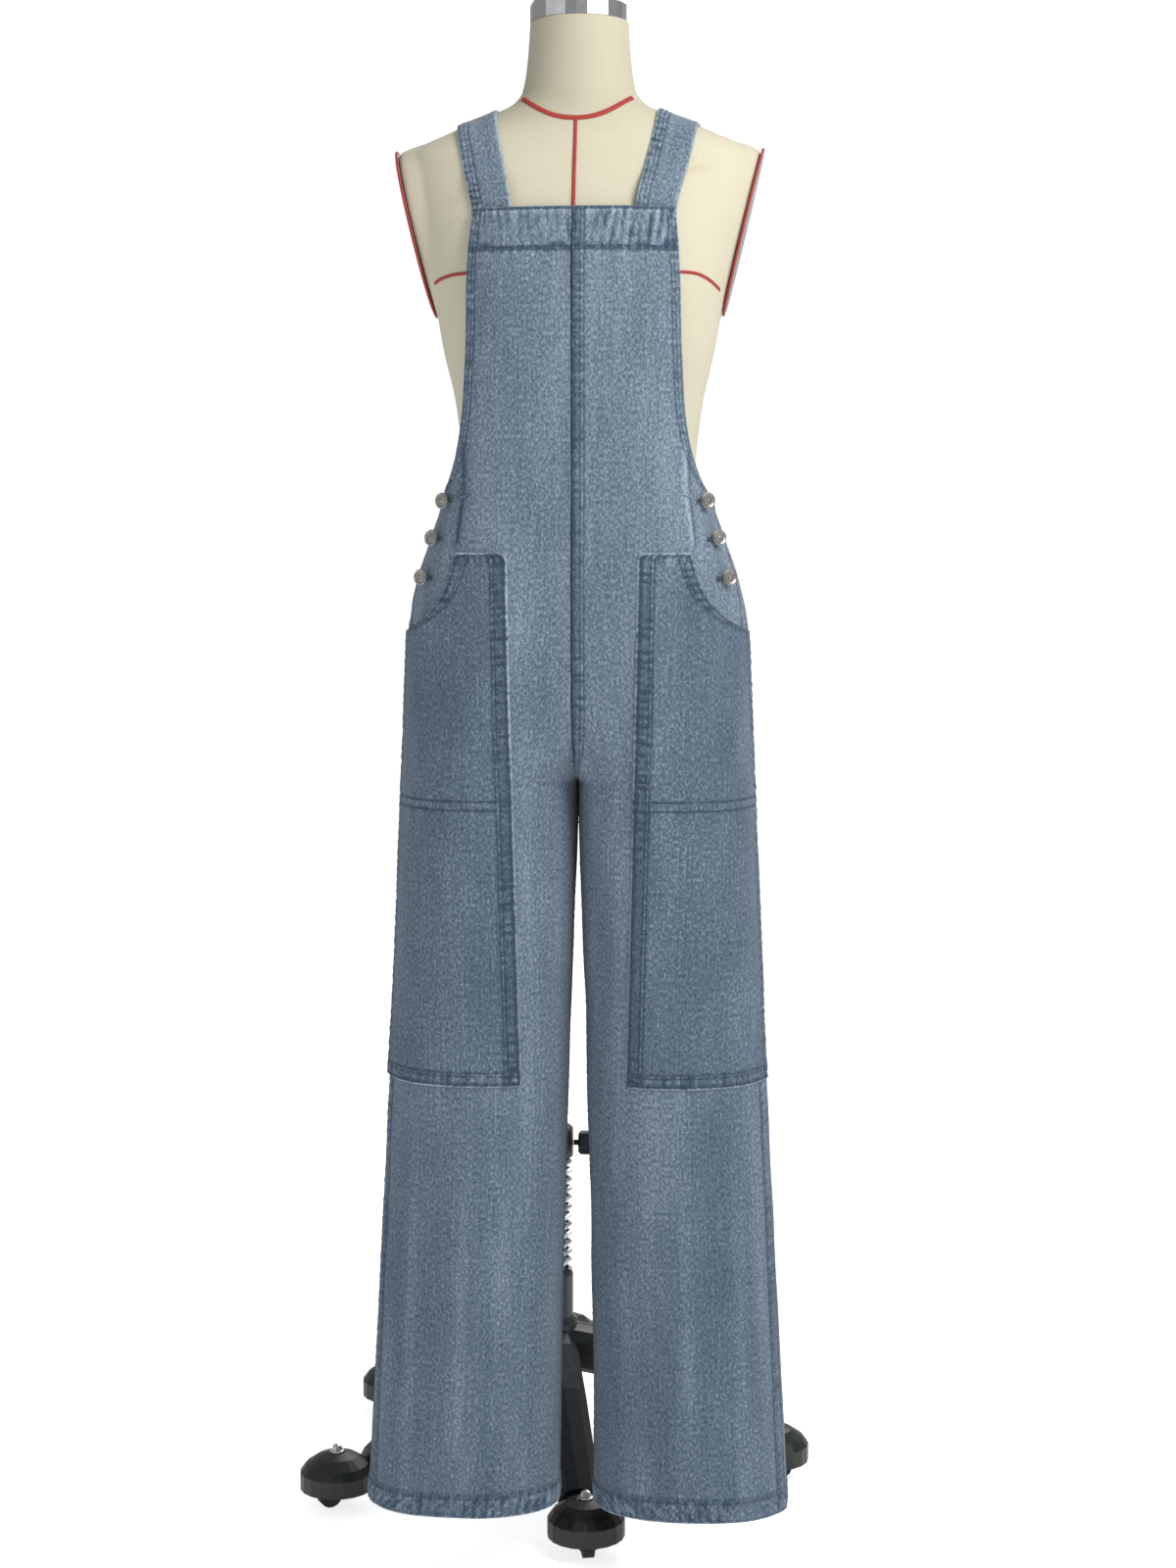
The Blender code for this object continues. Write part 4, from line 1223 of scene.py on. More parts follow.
        # painted shade on the underlay beneath the buttoned flap
        r.dark += 0.3 * under * (1 - smooth(s, 14, 24))
        edge = smooth(z, 1084, 1098)
        r.band(s, z, 8.0, 0.55, seed + 4, 0.35, 8.0, 4.0, edge)
        drop = top - z
        r.band(drop, s, 22.0, 0.6, seed + 5, 0.35, 8.0, 5.0)
        yoke = z - (yoke_foot + self.yoke_slope * t)
        r.line(yoke, s, seed + 6, 0.9, 0.4, 8.0, 7.0)
        r.height += 0.6 * (1 - smooth(-yoke, 0, 9.5)) * smooth(-yoke, -0.5, 0.5)
        self.hem(r, seed)
        for crease in ((930, 800, 0.90, 0.35, 12, 2.4), (885, 770, 0.95, 0.50, 10, 1.8),
                       (790, 470, 0.55, 0.48, 17, 2.8), (520, 90, 0.42, 0.36, 17, 3.2),
                       (470, 110, 0.72, 0.66, 15, 2.8), (360, 74, 0.20, 0.24, 13, -2.2),
                       (1150, 1050, 0.55, 0.62, 12, 1.4)):
            z0, z1, f0, f1, width, depth = crease
            tilt = 0.04 if side is Side.LEFT else -0.03
            r.crease(z0 + 12 * side.value, z1, f0 + tilt, f1 - tilt, width, depth)
        self.drape(r, s, seed, 50)
        r.wear_and_highlight += 0.12 * hump(z, 930, 90) * hump(t, 90, 60) + 0.10
        self.pale_legs(r)
        r.edge_roll(drop)
        r.edge_roll(z - hem, 0.8)
        r.edge_roll(s + 6 * (1 - edge))
        grid.shape_up()
        return grid

    def patch(self, side: Side, below: ClothGrid) -> ClothGrid:
        """Pocket and knee patch, sewn down along its edges and lying proud of the panel."""
        low, high, knee = self.patch_foot, self.patch_top, self.knee_line
        heights = heights_between(low, high, 250, ((low, 14), (high, 12), (knee, 14)), 2.0)
        grid = ClothGrid("denim_patch_" + side.word, heights, SHAPE.patch_span,
                         spread(78, ((0.0, 0.10), (1.0, 0.09)), 1.8), 0.0)
        r, z, s, t = grid.relief, grid.relief.z, grid.relief.s, grid.relief.t
        seed = 111 if side is Side.LEFT else 157
        # take over the panel's own folds, so that the patch follows it
        inner = SHAPE.angle_at(heights, SHAPE.patch_edge(1, heights))
        start, _ = SHAPE.front_span(heights)
        off = self.run_between(heights, start, inner)
        r.height += self.sampled(below, z, s + off[:, None]) * 0.85
        mouth = smooth(z, 944, 950)
        drop, rise = high - z, z - low
        r.band(s, z, 15.0, 0.35, seed + 1, 0.42, 8.0, 5.0)
        r.dark += 0.25 * (1 - smooth(s, 13, 16)) * smooth(s, 2, 4)
        r.band(rise, s, 13.0, 0.35, seed + 2, 0.45, 8.0, 7.0)
        r.line(z - knee, s, seed + 3, 0.4, 0.35, 8.0, 7.0)
        r.line(z - knee + 9, s, seed + 4, 0.35, 0.35, 8.0, 6.0)
        r.band(t, z, 12.0, 0.5, seed + 5, 0.5, 7.5, 6.0, mouth)
        r.band(t, z, 9.0, 0.6, seed + 6, 0.4, 9.0, 6.0, 1 - mouth)
        wave = r.ripple(s, drop, 7.0, seed + 7)
        top = 1 - smooth(drop, 8, 17)
        r.height += 0.6 * wave * top
        # painted shade in the pucker dips under the top edge
        r.dark += 0.8 * np.clip(-wave - 0.05, 0, 1) * top * smooth(drop, 2.0, 4.5)
        r.wear_and_highlight += 0.5 * np.clip(wave, 0, 1) * top
        rim = np.minimum(np.minimum(drop, rise), s)
        r.wear_and_highlight += 0.75 * hump(rim, 0.6, 1.5)
        # painted shade along the inner stitch row's groove
        r.dark += 0.35 * hump(rim, 4.4, 1.5)
        r.height -= 1.9 * (1 - smooth(rim, -0.4, 2.2))
        r.height += 0.35 * noise(s / 26, z / 40, seed + 20)
        r.dark += 0.13
        r.wear_and_highlight += 0.10 * noise(s / 30, z / 120, seed + 22) + 0.04
        r.crease(770, 560, 0.34, 0.30, 16, 0.8)
        r.crease(1000, 820, 0.45, 0.30, 14, 0.9)
        grid.shape_up(self.patch_lift)
        return grid

    @staticmethod
    def run_between(heights: np.ndarray, start: np.ndarray, end: np.ndarray) -> np.ndarray:
        """True length along each ring between two angles."""
        angles = start[:, None] + (end - start)[:, None] * np.linspace(0, 1, 160)
        dense = SHAPE.point(heights[:, None], angles)
        return np.linalg.norm(np.diff(dense, axis=1), axis=-1).sum(axis=1)

    @staticmethod
    def sampled(grid: ClothGrid, z: np.ndarray, s: np.ndarray) -> np.ndarray:
        """Relief height of another piece at heights z and distances s."""
        rows = np.arange(len(grid.heights))
        low = np.clip(np.round(np.interp(z, grid.heights, rows)).astype(int), 0, len(rows) - 1)
        soft = grid.relief.height[..., None]
        return row_interp(rows, grid.s, soft, low, s)[..., 0]

    @staticmethod
    def row_on(grid: ClothGrid, kind: Edge, away: float, low: float, high: float,
               step: float = 1.2) -> tuple:
        """A row of stitches at a distance from an edge of a piece.

        Args:
            grid: the shaped piece.
            kind: edge that the distance is measured from.
            away: the distance.
            low: where the row starts: a height, or a distance from the start edge.
            high: where it ends: a height, or a distance from the end edge as a negative number.
            step: spacing of the traced points.

        Returns:
            Points and normals along the row.
        """
        full = grid.s[:, -1] + grid.trim
        if kind in (Edge.BOTTOM, Edge.TOP):
            base = grid.heights[0] + away if kind is Edge.BOTTOM else grid.heights[-1] - away
            line = np.arange(low, float(np.interp(base, grid.heights, full)) + high, step)
            return grid.trace(np.full_like(line, base), line)
        line = np.arange(low, high, step)
        if kind is Edge.START:
            return grid.trace(line, np.full_like(line, away))
        return grid.trace(line, np.interp(line, grid.heights, full) - away)

    def panels(self) -> None:
        """Build both sides' panels, patches and their stitches."""
        for side in Side:
            front, back = self.front(side), self.back(side)
            patch = self.patch(side, front)
            thing = front.build(side, self.wall, self.denim, "front_panel_" + side.word, "denim")
            thing = back.build(side, self.wall, self.denim, "back_panel_" + side.word, "denim")
            thing = patch.build(side, self.wall, self.patch_denim, "patch_" + side.word, "denim_patch")
            self.stitch_front(side, front)
            self.stitch_back(side, back)
            self.stitch_patch(side, patch)
            LOG.info("%s panels, patch and stitches", side.word)

    def stitch_front(self, side: Side, grid: ClothGrid) -> None:
        """Rows of stitches on the front panel."""
        places = [(Edge.START, 9.0, 100, 806), (Edge.END, 2.2, 100, 958), (Edge.END, 13.6, 100, 968),
                  (Edge.END, 7.2, 1092, 1356), (Edge.BOTTOM, 19.5, 1, -1), (Edge.TOP, 3.2, 1, -1),
                  (Edge.TOP, 39.8, 1, -1), (Edge.END, 14.0, 972, 1082)]
        if side is Side.LEFT:
            places += [(Edge.START, 2.2, 812, 1356), (Edge.START, 8.2, 812, 1356)]
        rows = [self.row_on(grid, *place) for place in places]
        self.stitches.build("front_stitches_" + side.word, rows, side, self.navy)

    def stitch_back(self, side: Side, grid: ClothGrid) -> None:
        """Rows of stitches on the back panel."""
        places = [(Edge.START, 7.2, 1098, 1226), (Edge.BOTTOM, 19.5, 1, -1), (Edge.TOP, 3.2, 1, -1),
                  (Edge.TOP, 21.0, 1, -1)]
        if side is Side.LEFT:
            places += [(Edge.END, 2.2, 812, 1226), (Edge.END, 8.2, 812, 1226)]
        rows = [self.row_on(grid, *place) for place in places]
        full = float(np.interp(self.yoke_foot, grid.heights, grid.s[:, -1]))
        line = np.arange(4.0, full - 2, 1.2)
        for drop in (2.0, 8.0):
            rows.append(grid.trace(self.yoke_foot + self.yoke_slope * (full - line) - drop, line))
        self.stitches.build("back_stitches_" + side.word, rows, side, self.navy)

    def stitch_patch(self, side: Side, grid: ClothGrid) -> None:
        """Double rows along the patch's edges, across the knee line and round the mouth."""
        places = ((Edge.START, 3.4, 508, 1022), (Edge.START, 13.6, 508, 1024),
                  (Edge.BOTTOM, 3.0, 3, -1), (Edge.BOTTOM, 12.0, 3, -1), (Edge.TOP, 3.2, 8, -2),
                  (Edge.END, 3.0, 950, 1024), (Edge.END, 11.0, 950, 1022))
        rows = [self.row_on(grid, *place) for place in places]
        for z in (self.knee_line, self.knee_line - 9):
            line = np.arange(15.0, float(np.interp(z, grid.heights, grid.s[:, -1])) - 8, 1.2)
            rows.append(grid.trace(np.full_like(line, z), line))
        self.stitches.build("patch_stitches_" + side.word, rows, side, self.navy)


# ---- straps -----------------------------------------------------------------------
@dataclass(frozen=True)
class FormShape:
    """The dress form: rounded ovals from its open lower end up to the neck."""

    rings: Table = Table((
        # z     half front back power
        (858, 140, 82, 84, 2.3), (870, 150, 92, 95, 2.3), (905, 157, 100, 103, 2.3),
        (950, 155, 103, 106, 2.3), (1002, 142, 96, 94, 2.3), (1060, 124, 85, 76, 2.3),
        (1110, 117, 81, 68, 2.3), (1170, 123, 88, 68, 2.3), (1230, 136, 101, 74, 2.3),
        (1287, 146, 110, 81, 2.3), (1330, 157, 103, 84, 2.3), (1370, 167, 91, 85, 2.3),
        (1400, 172, 80, 81, 2.2), (1418, 172, 71, 74, 2.2), (1430, 160, 66, 69, 2.2),
        (1441, 136, 62, 65, 2.2), (1452, 110, 59, 61, 2.1), (1462, 85, 57, 58, 2.1),
        (1472, 66, 55, 56, 2.0), (1484, 57, 53, 54, 2.0), (1512, 52, 50, 51, 2.0),
        (1552, 49, 49, 49, 2.0),
    ))

    def point(self, z: np.ndarray, angle: np.ndarray) -> np.ndarray:
        """Skin point: x = half sin^(2/p), y = -depth cos^(2/p), as on the garment's rings."""
        z, angle = np.broadcast_arrays(np.asarray(z, float), np.asarray(angle, float))
        turn = np.radians(angle)
        power = self.rings(4, z)
        depth = np.where(np.cos(turn) > 0, self.rings(2, z), self.rings(3, z))
        x = self.rings(1, z) * signed_power(np.sin(turn), 2 / power)
        y = -depth * signed_power(np.cos(turn), 2 / power)
        return np.stack([x, y, z], axis=-1)

    def angle_at(self, z: np.ndarray, x: np.ndarray) -> np.ndarray:
        """Front angle at which the skin reaches a width."""
        share = np.clip(np.abs(x) / self.rings(1, z), 0, 1) ** (self.rings(4, z) / 2)
        return np.degrees(np.arcsin(share)) * np.sign(x)


FORM = FormShape()


@dataclass
class Strap:
    """One shoulder strap: doubled denim from inside the bib, over the form, to inside the back."""

    side: Side
    garment: Garment
    width: float = 40.0
    wall: float = 2.2
    hub: float = 1330.0
    clearance: float = 3.4
    tuck: float = 45.0
    path: Table = Table((
        # turn  centre x
        (-1.0, 78.0), (18.0, 80.0), (47.0, 90.0), (70.0, 98.5), (90.0, 101.0),
        (120.0, 97.0), (180.0, 66.0), (228.0, 48.0), (240.0, 45.0),
    ))

    def reach(self, x: np.ndarray, turn: np.ndarray) -> np.ndarray:
        """Distance from the hub line to the form's skin along each turn.

        The oval's own measure |x/half|^p + |y/depth|^p is sampled along the ray, and the last
        place where it rises through 1 is found by a straight line between two samples.
        """
        steps = np.arange(10.0, 240.0, 1.0)
        y = -steps * np.cos(turn)[..., None]
        z = self.hub + steps * np.sin(turn)[..., None]
        depth = np.where(y < 0, FORM.rings(2, z), FORM.rings(3, z))
        power = FORM.rings(4, z)
        measure = (np.abs(x)[..., None] / FORM.rings(1, z)) ** power + (np.abs(y) / depth) ** power - 1
        measure = np.where(z < 1552, measure, 1.0)
        first = np.argmax(measure > 0, axis=-1)
        a = np.take_along_axis(measure, np.maximum(first - 1, 0)[..., None], -1)[..., 0]
        b = np.take_along_axis(measure, first[..., None], -1)[..., 0]
        return steps[first] - b / np.maximum(b - a, 1e-9)

    def skin(self, x: np.ndarray, turn: np.ndarray) -> np.ndarray:
        """Outer skin: over the form, eased to just inside the bib and the back."""
        reach = self.reach(x, turn) + self.clearance
        y, z = -reach * np.cos(turn), self.hub + reach * np.sin(turn)
        behind = y > 0
        top = np.where(behind, SHAPE.back_top, SHAPE.bib_top)
        held_z = np.minimum(z, top)
        angle = SHAPE.angle_at(held_z, x)
        wall = 3.3
        front = SHAPE.point(held_z, angle)[..., 1] + wall
        rear = SHAPE.point(held_z, 180 - angle)[..., 1] - wall
        held = np.where(behind, rear, front)
        y = held + (y - held) * smooth(z, top, top + self.tuck)
        return np.stack([x, y, z], axis=-1)

    def build(self) -> None:
        rows, columns = 330, 26
        turns = np.radians(np.linspace(-1.0, 240.0, rows))[:, None]
        across = spread(columns, ((0.0, 0.08), (1.0, 0.08)), 1.5)[None, :]
        centre = self.path(1, np.degrees(turns))
        half = self.width / 2 * (1 + 0.012 * noise(np.degrees(turns) / 23, np.zeros_like(turns), 5))
        x = centre + half * (2 * across - 1)
        points = self.skin(x, np.broadcast_to(turns, x.shape))
        steps = np.linalg.norm(np.diff(points[:, columns // 2], axis=0), axis=1)
        run = np.concatenate([[0], np.cumsum(steps)])
        s = across * self.width
        shape = Relief(np.broadcast_to(run[:, None], x.shape) * 1.0, np.broadcast_to(s, x.shape) * 1.0,
                       np.broadcast_to(self.width - s, x.shape) * 1.0)
        seed = 401 if self.side is Side.LEFT else 433
        sewn, folded = (shape.s, shape.t) if self.side is Side.LEFT else (shape.t, shape.s)
        shape.band(sewn, shape.z, 9.5, 0.35, seed, 0.32, 8.0, 5.0)
        shape.height += 0.3 * hump(folded, 3.0, 2.5)
        shape.wear_and_highlight += 0.3 * hump(folded, 1.5, 1.5)
        for fold, end in ((26.0, 12.0), (float(run[-1]) - 30.0, 14.0)):
            shape.height += 0.6 * hump(shape.z, fold, end) * noise(shape.s / 9, shape.z / 40, seed + 6)
        shape.height += 0.35 * noise(shape.s / 17, shape.z / 24, seed + 2)
        shape.wear_and_highlight += 0.16 + 0.12 * noise(shape.s / 12, shape.z / 70, seed + 3)
        shape.edge_roll(np.minimum(shape.s, shape.t), 0.9)
        points = points + ClothGrid.find_normals(points) * (shape.height - 0.2)[..., None]
        normals = ClothGrid.find_normals(points)
        thing = add_cloth("denim_strap_" + self.side.word, points, shape, 8.1 + 0.4 * self.side.value,
                          self.side, self.garment.denim)
        add_wall(thing, self.wall)
        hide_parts("strap_" + self.side.word)
        rows_of = []
        for away in (2.6, 8.1):
            place = away if self.side is Side.LEFT else self.width - away
            column = int(np.argmin(np.abs(s[0] - place)))
            keep = slice(int(rows * 0.02), int(rows * 0.98))
            rows_of.append((points[keep, column], normals[keep, column]))
        self.garment.stitches.build("strap_stitches_" + self.side.word, rows_of, self.side,
                                    self.garment.navy)
        LOG.info("%s strap, %.0f mm long", self.side.word, run[-1])


# ---- buttons ----------------------------------------------------------------------
@dataclass
class Buttonholes:
    """Keyhole ends of thread beside the shank buttons, and the buttons' stamped faces."""

    thread: bpy.types.Material
    metal: bpy.types.Material
    spots: tuple = ((1077, 62), (1040, 63), (1002, 62))
    lift: float = 4.6
    lean: float = 0.9
    rim_radius: float = 6.9
    bead_circle: float = 4.3
    beads: int = 8

    def faces(self, side: Side) -> None:
        """A raised rim, a ring of eight beads and a domed centre on each button."""
        turns = np.arange(self.beads) * 2 * np.pi / self.beads
        a = np.linspace(0, 2 * np.pi, 49)
        rim = np.stack([self.rim_radius * np.cos(a), self.rim_radius * np.sin(a),
                        np.full_like(a, 3.15)], axis=-1)
        flat = [tube(rim, 0.5, 8)]
        dome = ((0, 1.0), (0.5, 0.86), (0.87, 0.5), (1.0, 0.0), (0, -0.3))
        spots = [(self.bead_circle, 0.85, turn) for turn in turns] + [(0.0, 2.1, 0.0)]
        for radius, size, turn in spots:
            points, faces = lathe([(r * size, h * size * 0.6 + 2.6) for r, h in dome], 12)
            flat.append((points + np.array([radius * np.cos(turn), radius * np.sin(turn), 0]), faces))
        shapes = []
        for z, angle in self.spots:
            spot = SHAPE.point(float(z), float(angle))
            along = SHAPE.point(float(z), angle + 2.0) - SHAPE.point(float(z), angle - 2.0)
            up = SHAPE.point(z + 5.0, float(angle)) - SHAPE.point(z - 5.0, float(angle))
            normal = unit(np.cross(along, up))
            facing = unit(normal + self.lean * np.array([0, -1, 0]))
            over = unit(np.cross(np.array([0, 0, 1.0]), facing))
            high = np.cross(facing, over)
            for points, faces in flat:
                placed = (spot + normal * self.lift + points[:, :1] * over + points[:, 1:2] * high
                          + points[:, 2:] * facing)
                shapes.append((placed, faces))
        add_mirrored("button_faces_" + side.word, shapes, side, self.metal)

    def build(self, side: Side) -> None:
        """A short bar of dark thread from each button towards the front, and the faces."""
        self.faces(side)
        shapes = []
        for z, angle in self.spots:
            here = np.linspace(angle - 8.5, angle - 2.0, 16)
            points = SHAPE.point(np.full_like(here, z), here)
            out = unit(np.cross(np.gradient(points, axis=0), np.array([0.0, 0.0, 1.0])))
            for rise in (-1.0, 1.0):
                bar = points + out * 2.4 + np.array([0, 0, rise])
                shapes.append(tube(bar, 0.75 + 0.15 * np.sin(np.arange(len(here)) * 2.1), 8))
        add_mirrored("buttonholes_" + side.word, shapes, side, self.thread)


@dataclass
class FrayedThreads:
    """Loose thread ends at the wearer's left top corner of the bib."""

    thread: bpy.types.Material
    corner: tuple = (97.5, -66.0, 1358.0)

    def build(self) -> None:
        """Short curling threads: lines bent by two sine waves each."""
        share = np.linspace(0, 1, 26)
        shapes = []
        ends = ((7, 5, 3.0), (9, -3, -2.4), (5, 8, 2.2), (8, 1, 1.8), (4, -6, 2.6))
        for index, (dx, dz, bend) in enumerate(ends):
            path = np.stack([self.corner[0] + dx * share + bend * np.sin(3.1 * share + index),
                             self.corner[1] - 2.5 * share - 0.8 * np.sin(5 * share),
                             self.corner[2] + dz * share + bend * np.sin(4.3 * share)], axis=-1)
            shapes.append(tube(path, 0.28, 6, (0, 1, 0.2)))
        add_mirrored("frayed_threads", shapes, Side.LEFT, self.thread)


# ---- the dress form ---------------------------------------------------------------
@dataclass
class DressForm:
    """Linen torso with seams, red tapes, armhole rims and a faint stain."""

    linen: bpy.types.Material
    tape: bpy.types.Material
    rim: bpy.types.Material
    plate_x: float = 164.0
    plate_y: float = 2.0
    plate_z: float = 1345.0
    plate_lean: float = 13.5

    def armhole_boss(self, points: np.ndarray) -> np.ndarray:
        """Push the skin out to a flat oval behind each armhole plate.

        Inside an oval of the plate's size the width becomes the plate's inner plane, and
        outside it eases back to the round form.
        """
        x, y, z = points[..., 0], points[..., 1], points[..., 2]
        up = z - self.plate_z
        plane = self.plate_x - 2.2 + up * math.tan(math.radians(self.plate_lean))
        oval = np.hypot(up / 80.0, (y - self.plate_y) / 47.0)
        mask = 1 - smooth(oval, 0.95, 1.16)
        wide = np.abs(x) + np.maximum(plane - np.abs(x), 0) * mask
        return np.stack([np.sign(x) * wide, y, z], axis=-1)

    def torso(self) -> None:
        """Smooth skin on the form's rings, with pressed seams, closed below and above."""
        heights = heights_between(858, 1552, 300, ((1440, 60),), 2.0)
        count = 260
        angles = np.arange(count) * 360.0 / count
        points = self.armhole_boss(FORM.point(heights[:, None], angles[None, :]))
        around = np.roll(points, -1, axis=1) - np.roll(points, 1, axis=1)
        normals = unit(np.cross(around, np.gradient(points, axis=0)))
        z = points[..., 2]
        x, y = points[..., 0], points[..., 1]
        run = np.linalg.norm(points - np.roll(points, 1, axis=1), axis=-1).cumsum(axis=1)
        seam = -0.55 * hump(x, 0, 1.3) * (1 - smooth(z, 1440, 1450))
        front = y < 0
        side_line = np.abs(x) - np.interp(z, (858, 1110, 1330, 1418), (88, 72, 92, 104))
        seam -= 0.5 * hump(side_line, 0, 1.4)
        seam -= 0.5 * hump(y, 0, 1.4) * smooth(np.abs(x), 30, 60)
        seam -= 0.4 * hump(z, 1226 - 0.02 * x, 1.4) * np.where(front, hump(x, 150, 60), 1)
        grain = 0.18 * noise(x / 30 + 9, z / 34, 61) + 0.12 * noise(y / 21, z / 17, 62)
        points = points + normals * (seam + grain - 0.25)[..., None]
        stain = hump(x, 118, 13) * hump(z, 1404, 9) + 0.6 * hump(x, -120, 9) * hump(z, 1372, 8)
        stain = stain + 0.35 * hump(z, 1441, 5) * np.clip(noise(x / 13, z / 6, 64), 0, 1)
        flat = points.reshape(-1, 3)
        middles = [points[0].mean(axis=0), points[-1].mean(axis=0)]
        caps = fans(count, len(flat), len(flat) + 1, len(flat) - count)[:, [0, 2, 1]]
        thing = add_piece("linen_torso", LAYOUT.placed(np.concatenate([flat, middles])),
                          [grid_quads(len(heights), count, wrap=True), caps], self.linen, UPPER)
        uv = np.stack([run * MM, z * MM], axis=-1).reshape(-1, 2)
        add_uv(thing, np.concatenate([uv, uv[:2]]))
        add_value(thing, "stain", np.concatenate([np.clip(stain, 0, 1).ravel(), [0, 0]]))
        # painted shade: the neck darker, more on the wearer's right, away from the key light
        neck = 0.42 * smooth(z, 1425, 1475) * (0.6 + 0.4 * smooth(-x, -30, 50))
        add_value(thing, "shade", np.concatenate([neck.ravel(), [0, 0]]))
        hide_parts("form_torso")

    def on_skin(self, x: np.ndarray, z: np.ndarray, behind: bool = False) -> np.ndarray:
        """Points of the skin at widths and heights, in front or behind."""
        angle = FORM.angle_at(z, x)
        return FORM.point(z, 180 - angle if behind else angle)

    def tape_piece(self, x: np.ndarray, z: np.ndarray, width: float, behind: bool = False,
                   lift: float = 0.7) -> tuple:
        """A flat tape laid along a line of widths and heights on the skin.

        Its cross-section is a low lens of six points, pushed out along the skin's normal.

        Args:
            x: widths along the line.
            z: heights along it.
            width: the tape's width.
            behind: lay it on the form's back.
            lift: height of its middle over the skin.

        Returns:
            Points and faces.
        """
        line = self.on_skin(x, z, behind)
        along = unit(np.gradient(line, axis=0))
        eps = 1.5
        up = self.on_skin(x, z + eps, behind) - self.on_skin(x, z - eps, behind)
        over = self.on_skin(x + eps, z, behind) - self.on_skin(x - eps, z, behind)
        out = unit(np.cross(over, up))
        out = np.where((out * line * np.array([1, 1, 0])).sum(axis=1, keepdims=True) < 0, -out, out)
        across = np.cross(out, along)
        shape = np.array([(-1, -0.4), (-0.92, 0.75), (0, 1.0), (0.92, 0.75), (1, -0.4), (0, -0.5)])
        ring = (line[:, None] + across[:, None] * (shape[:, 0] * width / 2)[None, :, None]
                + out[:, None] * (shape[:, 1] * lift)[None, :, None])
        count = len(shape)
        points = np.concatenate([ring.reshape(-1, 3), [ring[0].mean(axis=0), ring[-1].mean(axis=0)]])
        low = len(points) - 2
        caps = fans(count, low, low + 1, low - count)[:, [0, 2, 1]]
        return points, [grid_quads(len(line), count, wrap=True), caps]

    def tapes(self) -> None:
        """Red style tapes: neckline, centre front and back, shoulders, bust line."""
        shapes = []
        t = np.linspace(0, 1, 90)
        neck_x = 54.0 * np.cos(np.pi * (1 - t))
        neck_z = 1449.5 + 24.0 * np.abs(np.cos(np.pi * (1 - t))) ** 2.2
        shapes.append(self.tape_piece(neck_x, neck_z, 5.0))
        nape_z = 1474.0 - 3 * (1 - (neck_x / 54) ** 2)
        shapes.append(self.tape_piece(neck_x, nape_z, 5.0, True))
        z = np.linspace(1330, 1449, 90)
        shapes.append(self.tape_piece(np.zeros_like(z), z, 3.4))
        z = np.linspace(1222, 1468, 120)
        shapes.append(self.tape_piece(np.zeros_like(z), z, 3.4, True))
        for sign in (-1, 1):
            z = np.linspace(1464, 1424, 60)
            half = FORM.rings(1, z)
            shapes.append(self.tape_piece(sign * half * 0.999, z, 2.6))
            x = sign * np.linspace(94, 146, 60)
            sag = 0.012 * np.clip(np.abs(x) - 112, 0, None) ** 2 * (1.3 if sign > 0 else 0.5)
            shapes.append(self.tape_piece(x, 1297.0 - sag, 3.2))
        add_mirrored("style_tapes", shapes, Side.LEFT, self.tape)
        LOG.info("style tapes")

    def armhole_rims(self) -> None:
        """A red cord round each armhole plate, where its linen is turned in."""
        for side in Side:
            turns = np.linspace(0, 2 * np.pi, 121)[:-1]
            lean = math.radians(self.plate_lean)
            height, depth = 84.0 * np.cos(turns), 49.0 * np.sin(turns)
            ring = np.stack([self.plate_x - 0.6 + height * math.sin(lean), self.plate_y + depth,
                             self.plate_z + height * math.cos(lean)], axis=-1)
            cord = tube(np.concatenate([ring, ring[:1]]), 1.3, 10, (1, 0, 0))
            add_mirrored("armhole_cord_" + side.word, [cord], side, self.rim)

    def build(self) -> None:
        """Build the torso, its tapes and cords."""
        self.torso()
        self.tapes()
        self.armhole_rims()
        LOG.info("dress form")


# ---- stand and fittings -----------------------------------------------------------
@dataclass
class Dresser:
    """Puts finishes on the nodes of the drawing that stay visible."""

    finishes: dict

    def build(self) -> None:
        """Replace the material in each node's slots."""
        for node, material in self.finishes.items():
            thing = bpy.data.objects[node]
            for slot in thing.material_slots:
                slot.material = material
        LOG.info("%d nodes dressed", len(self.finishes))


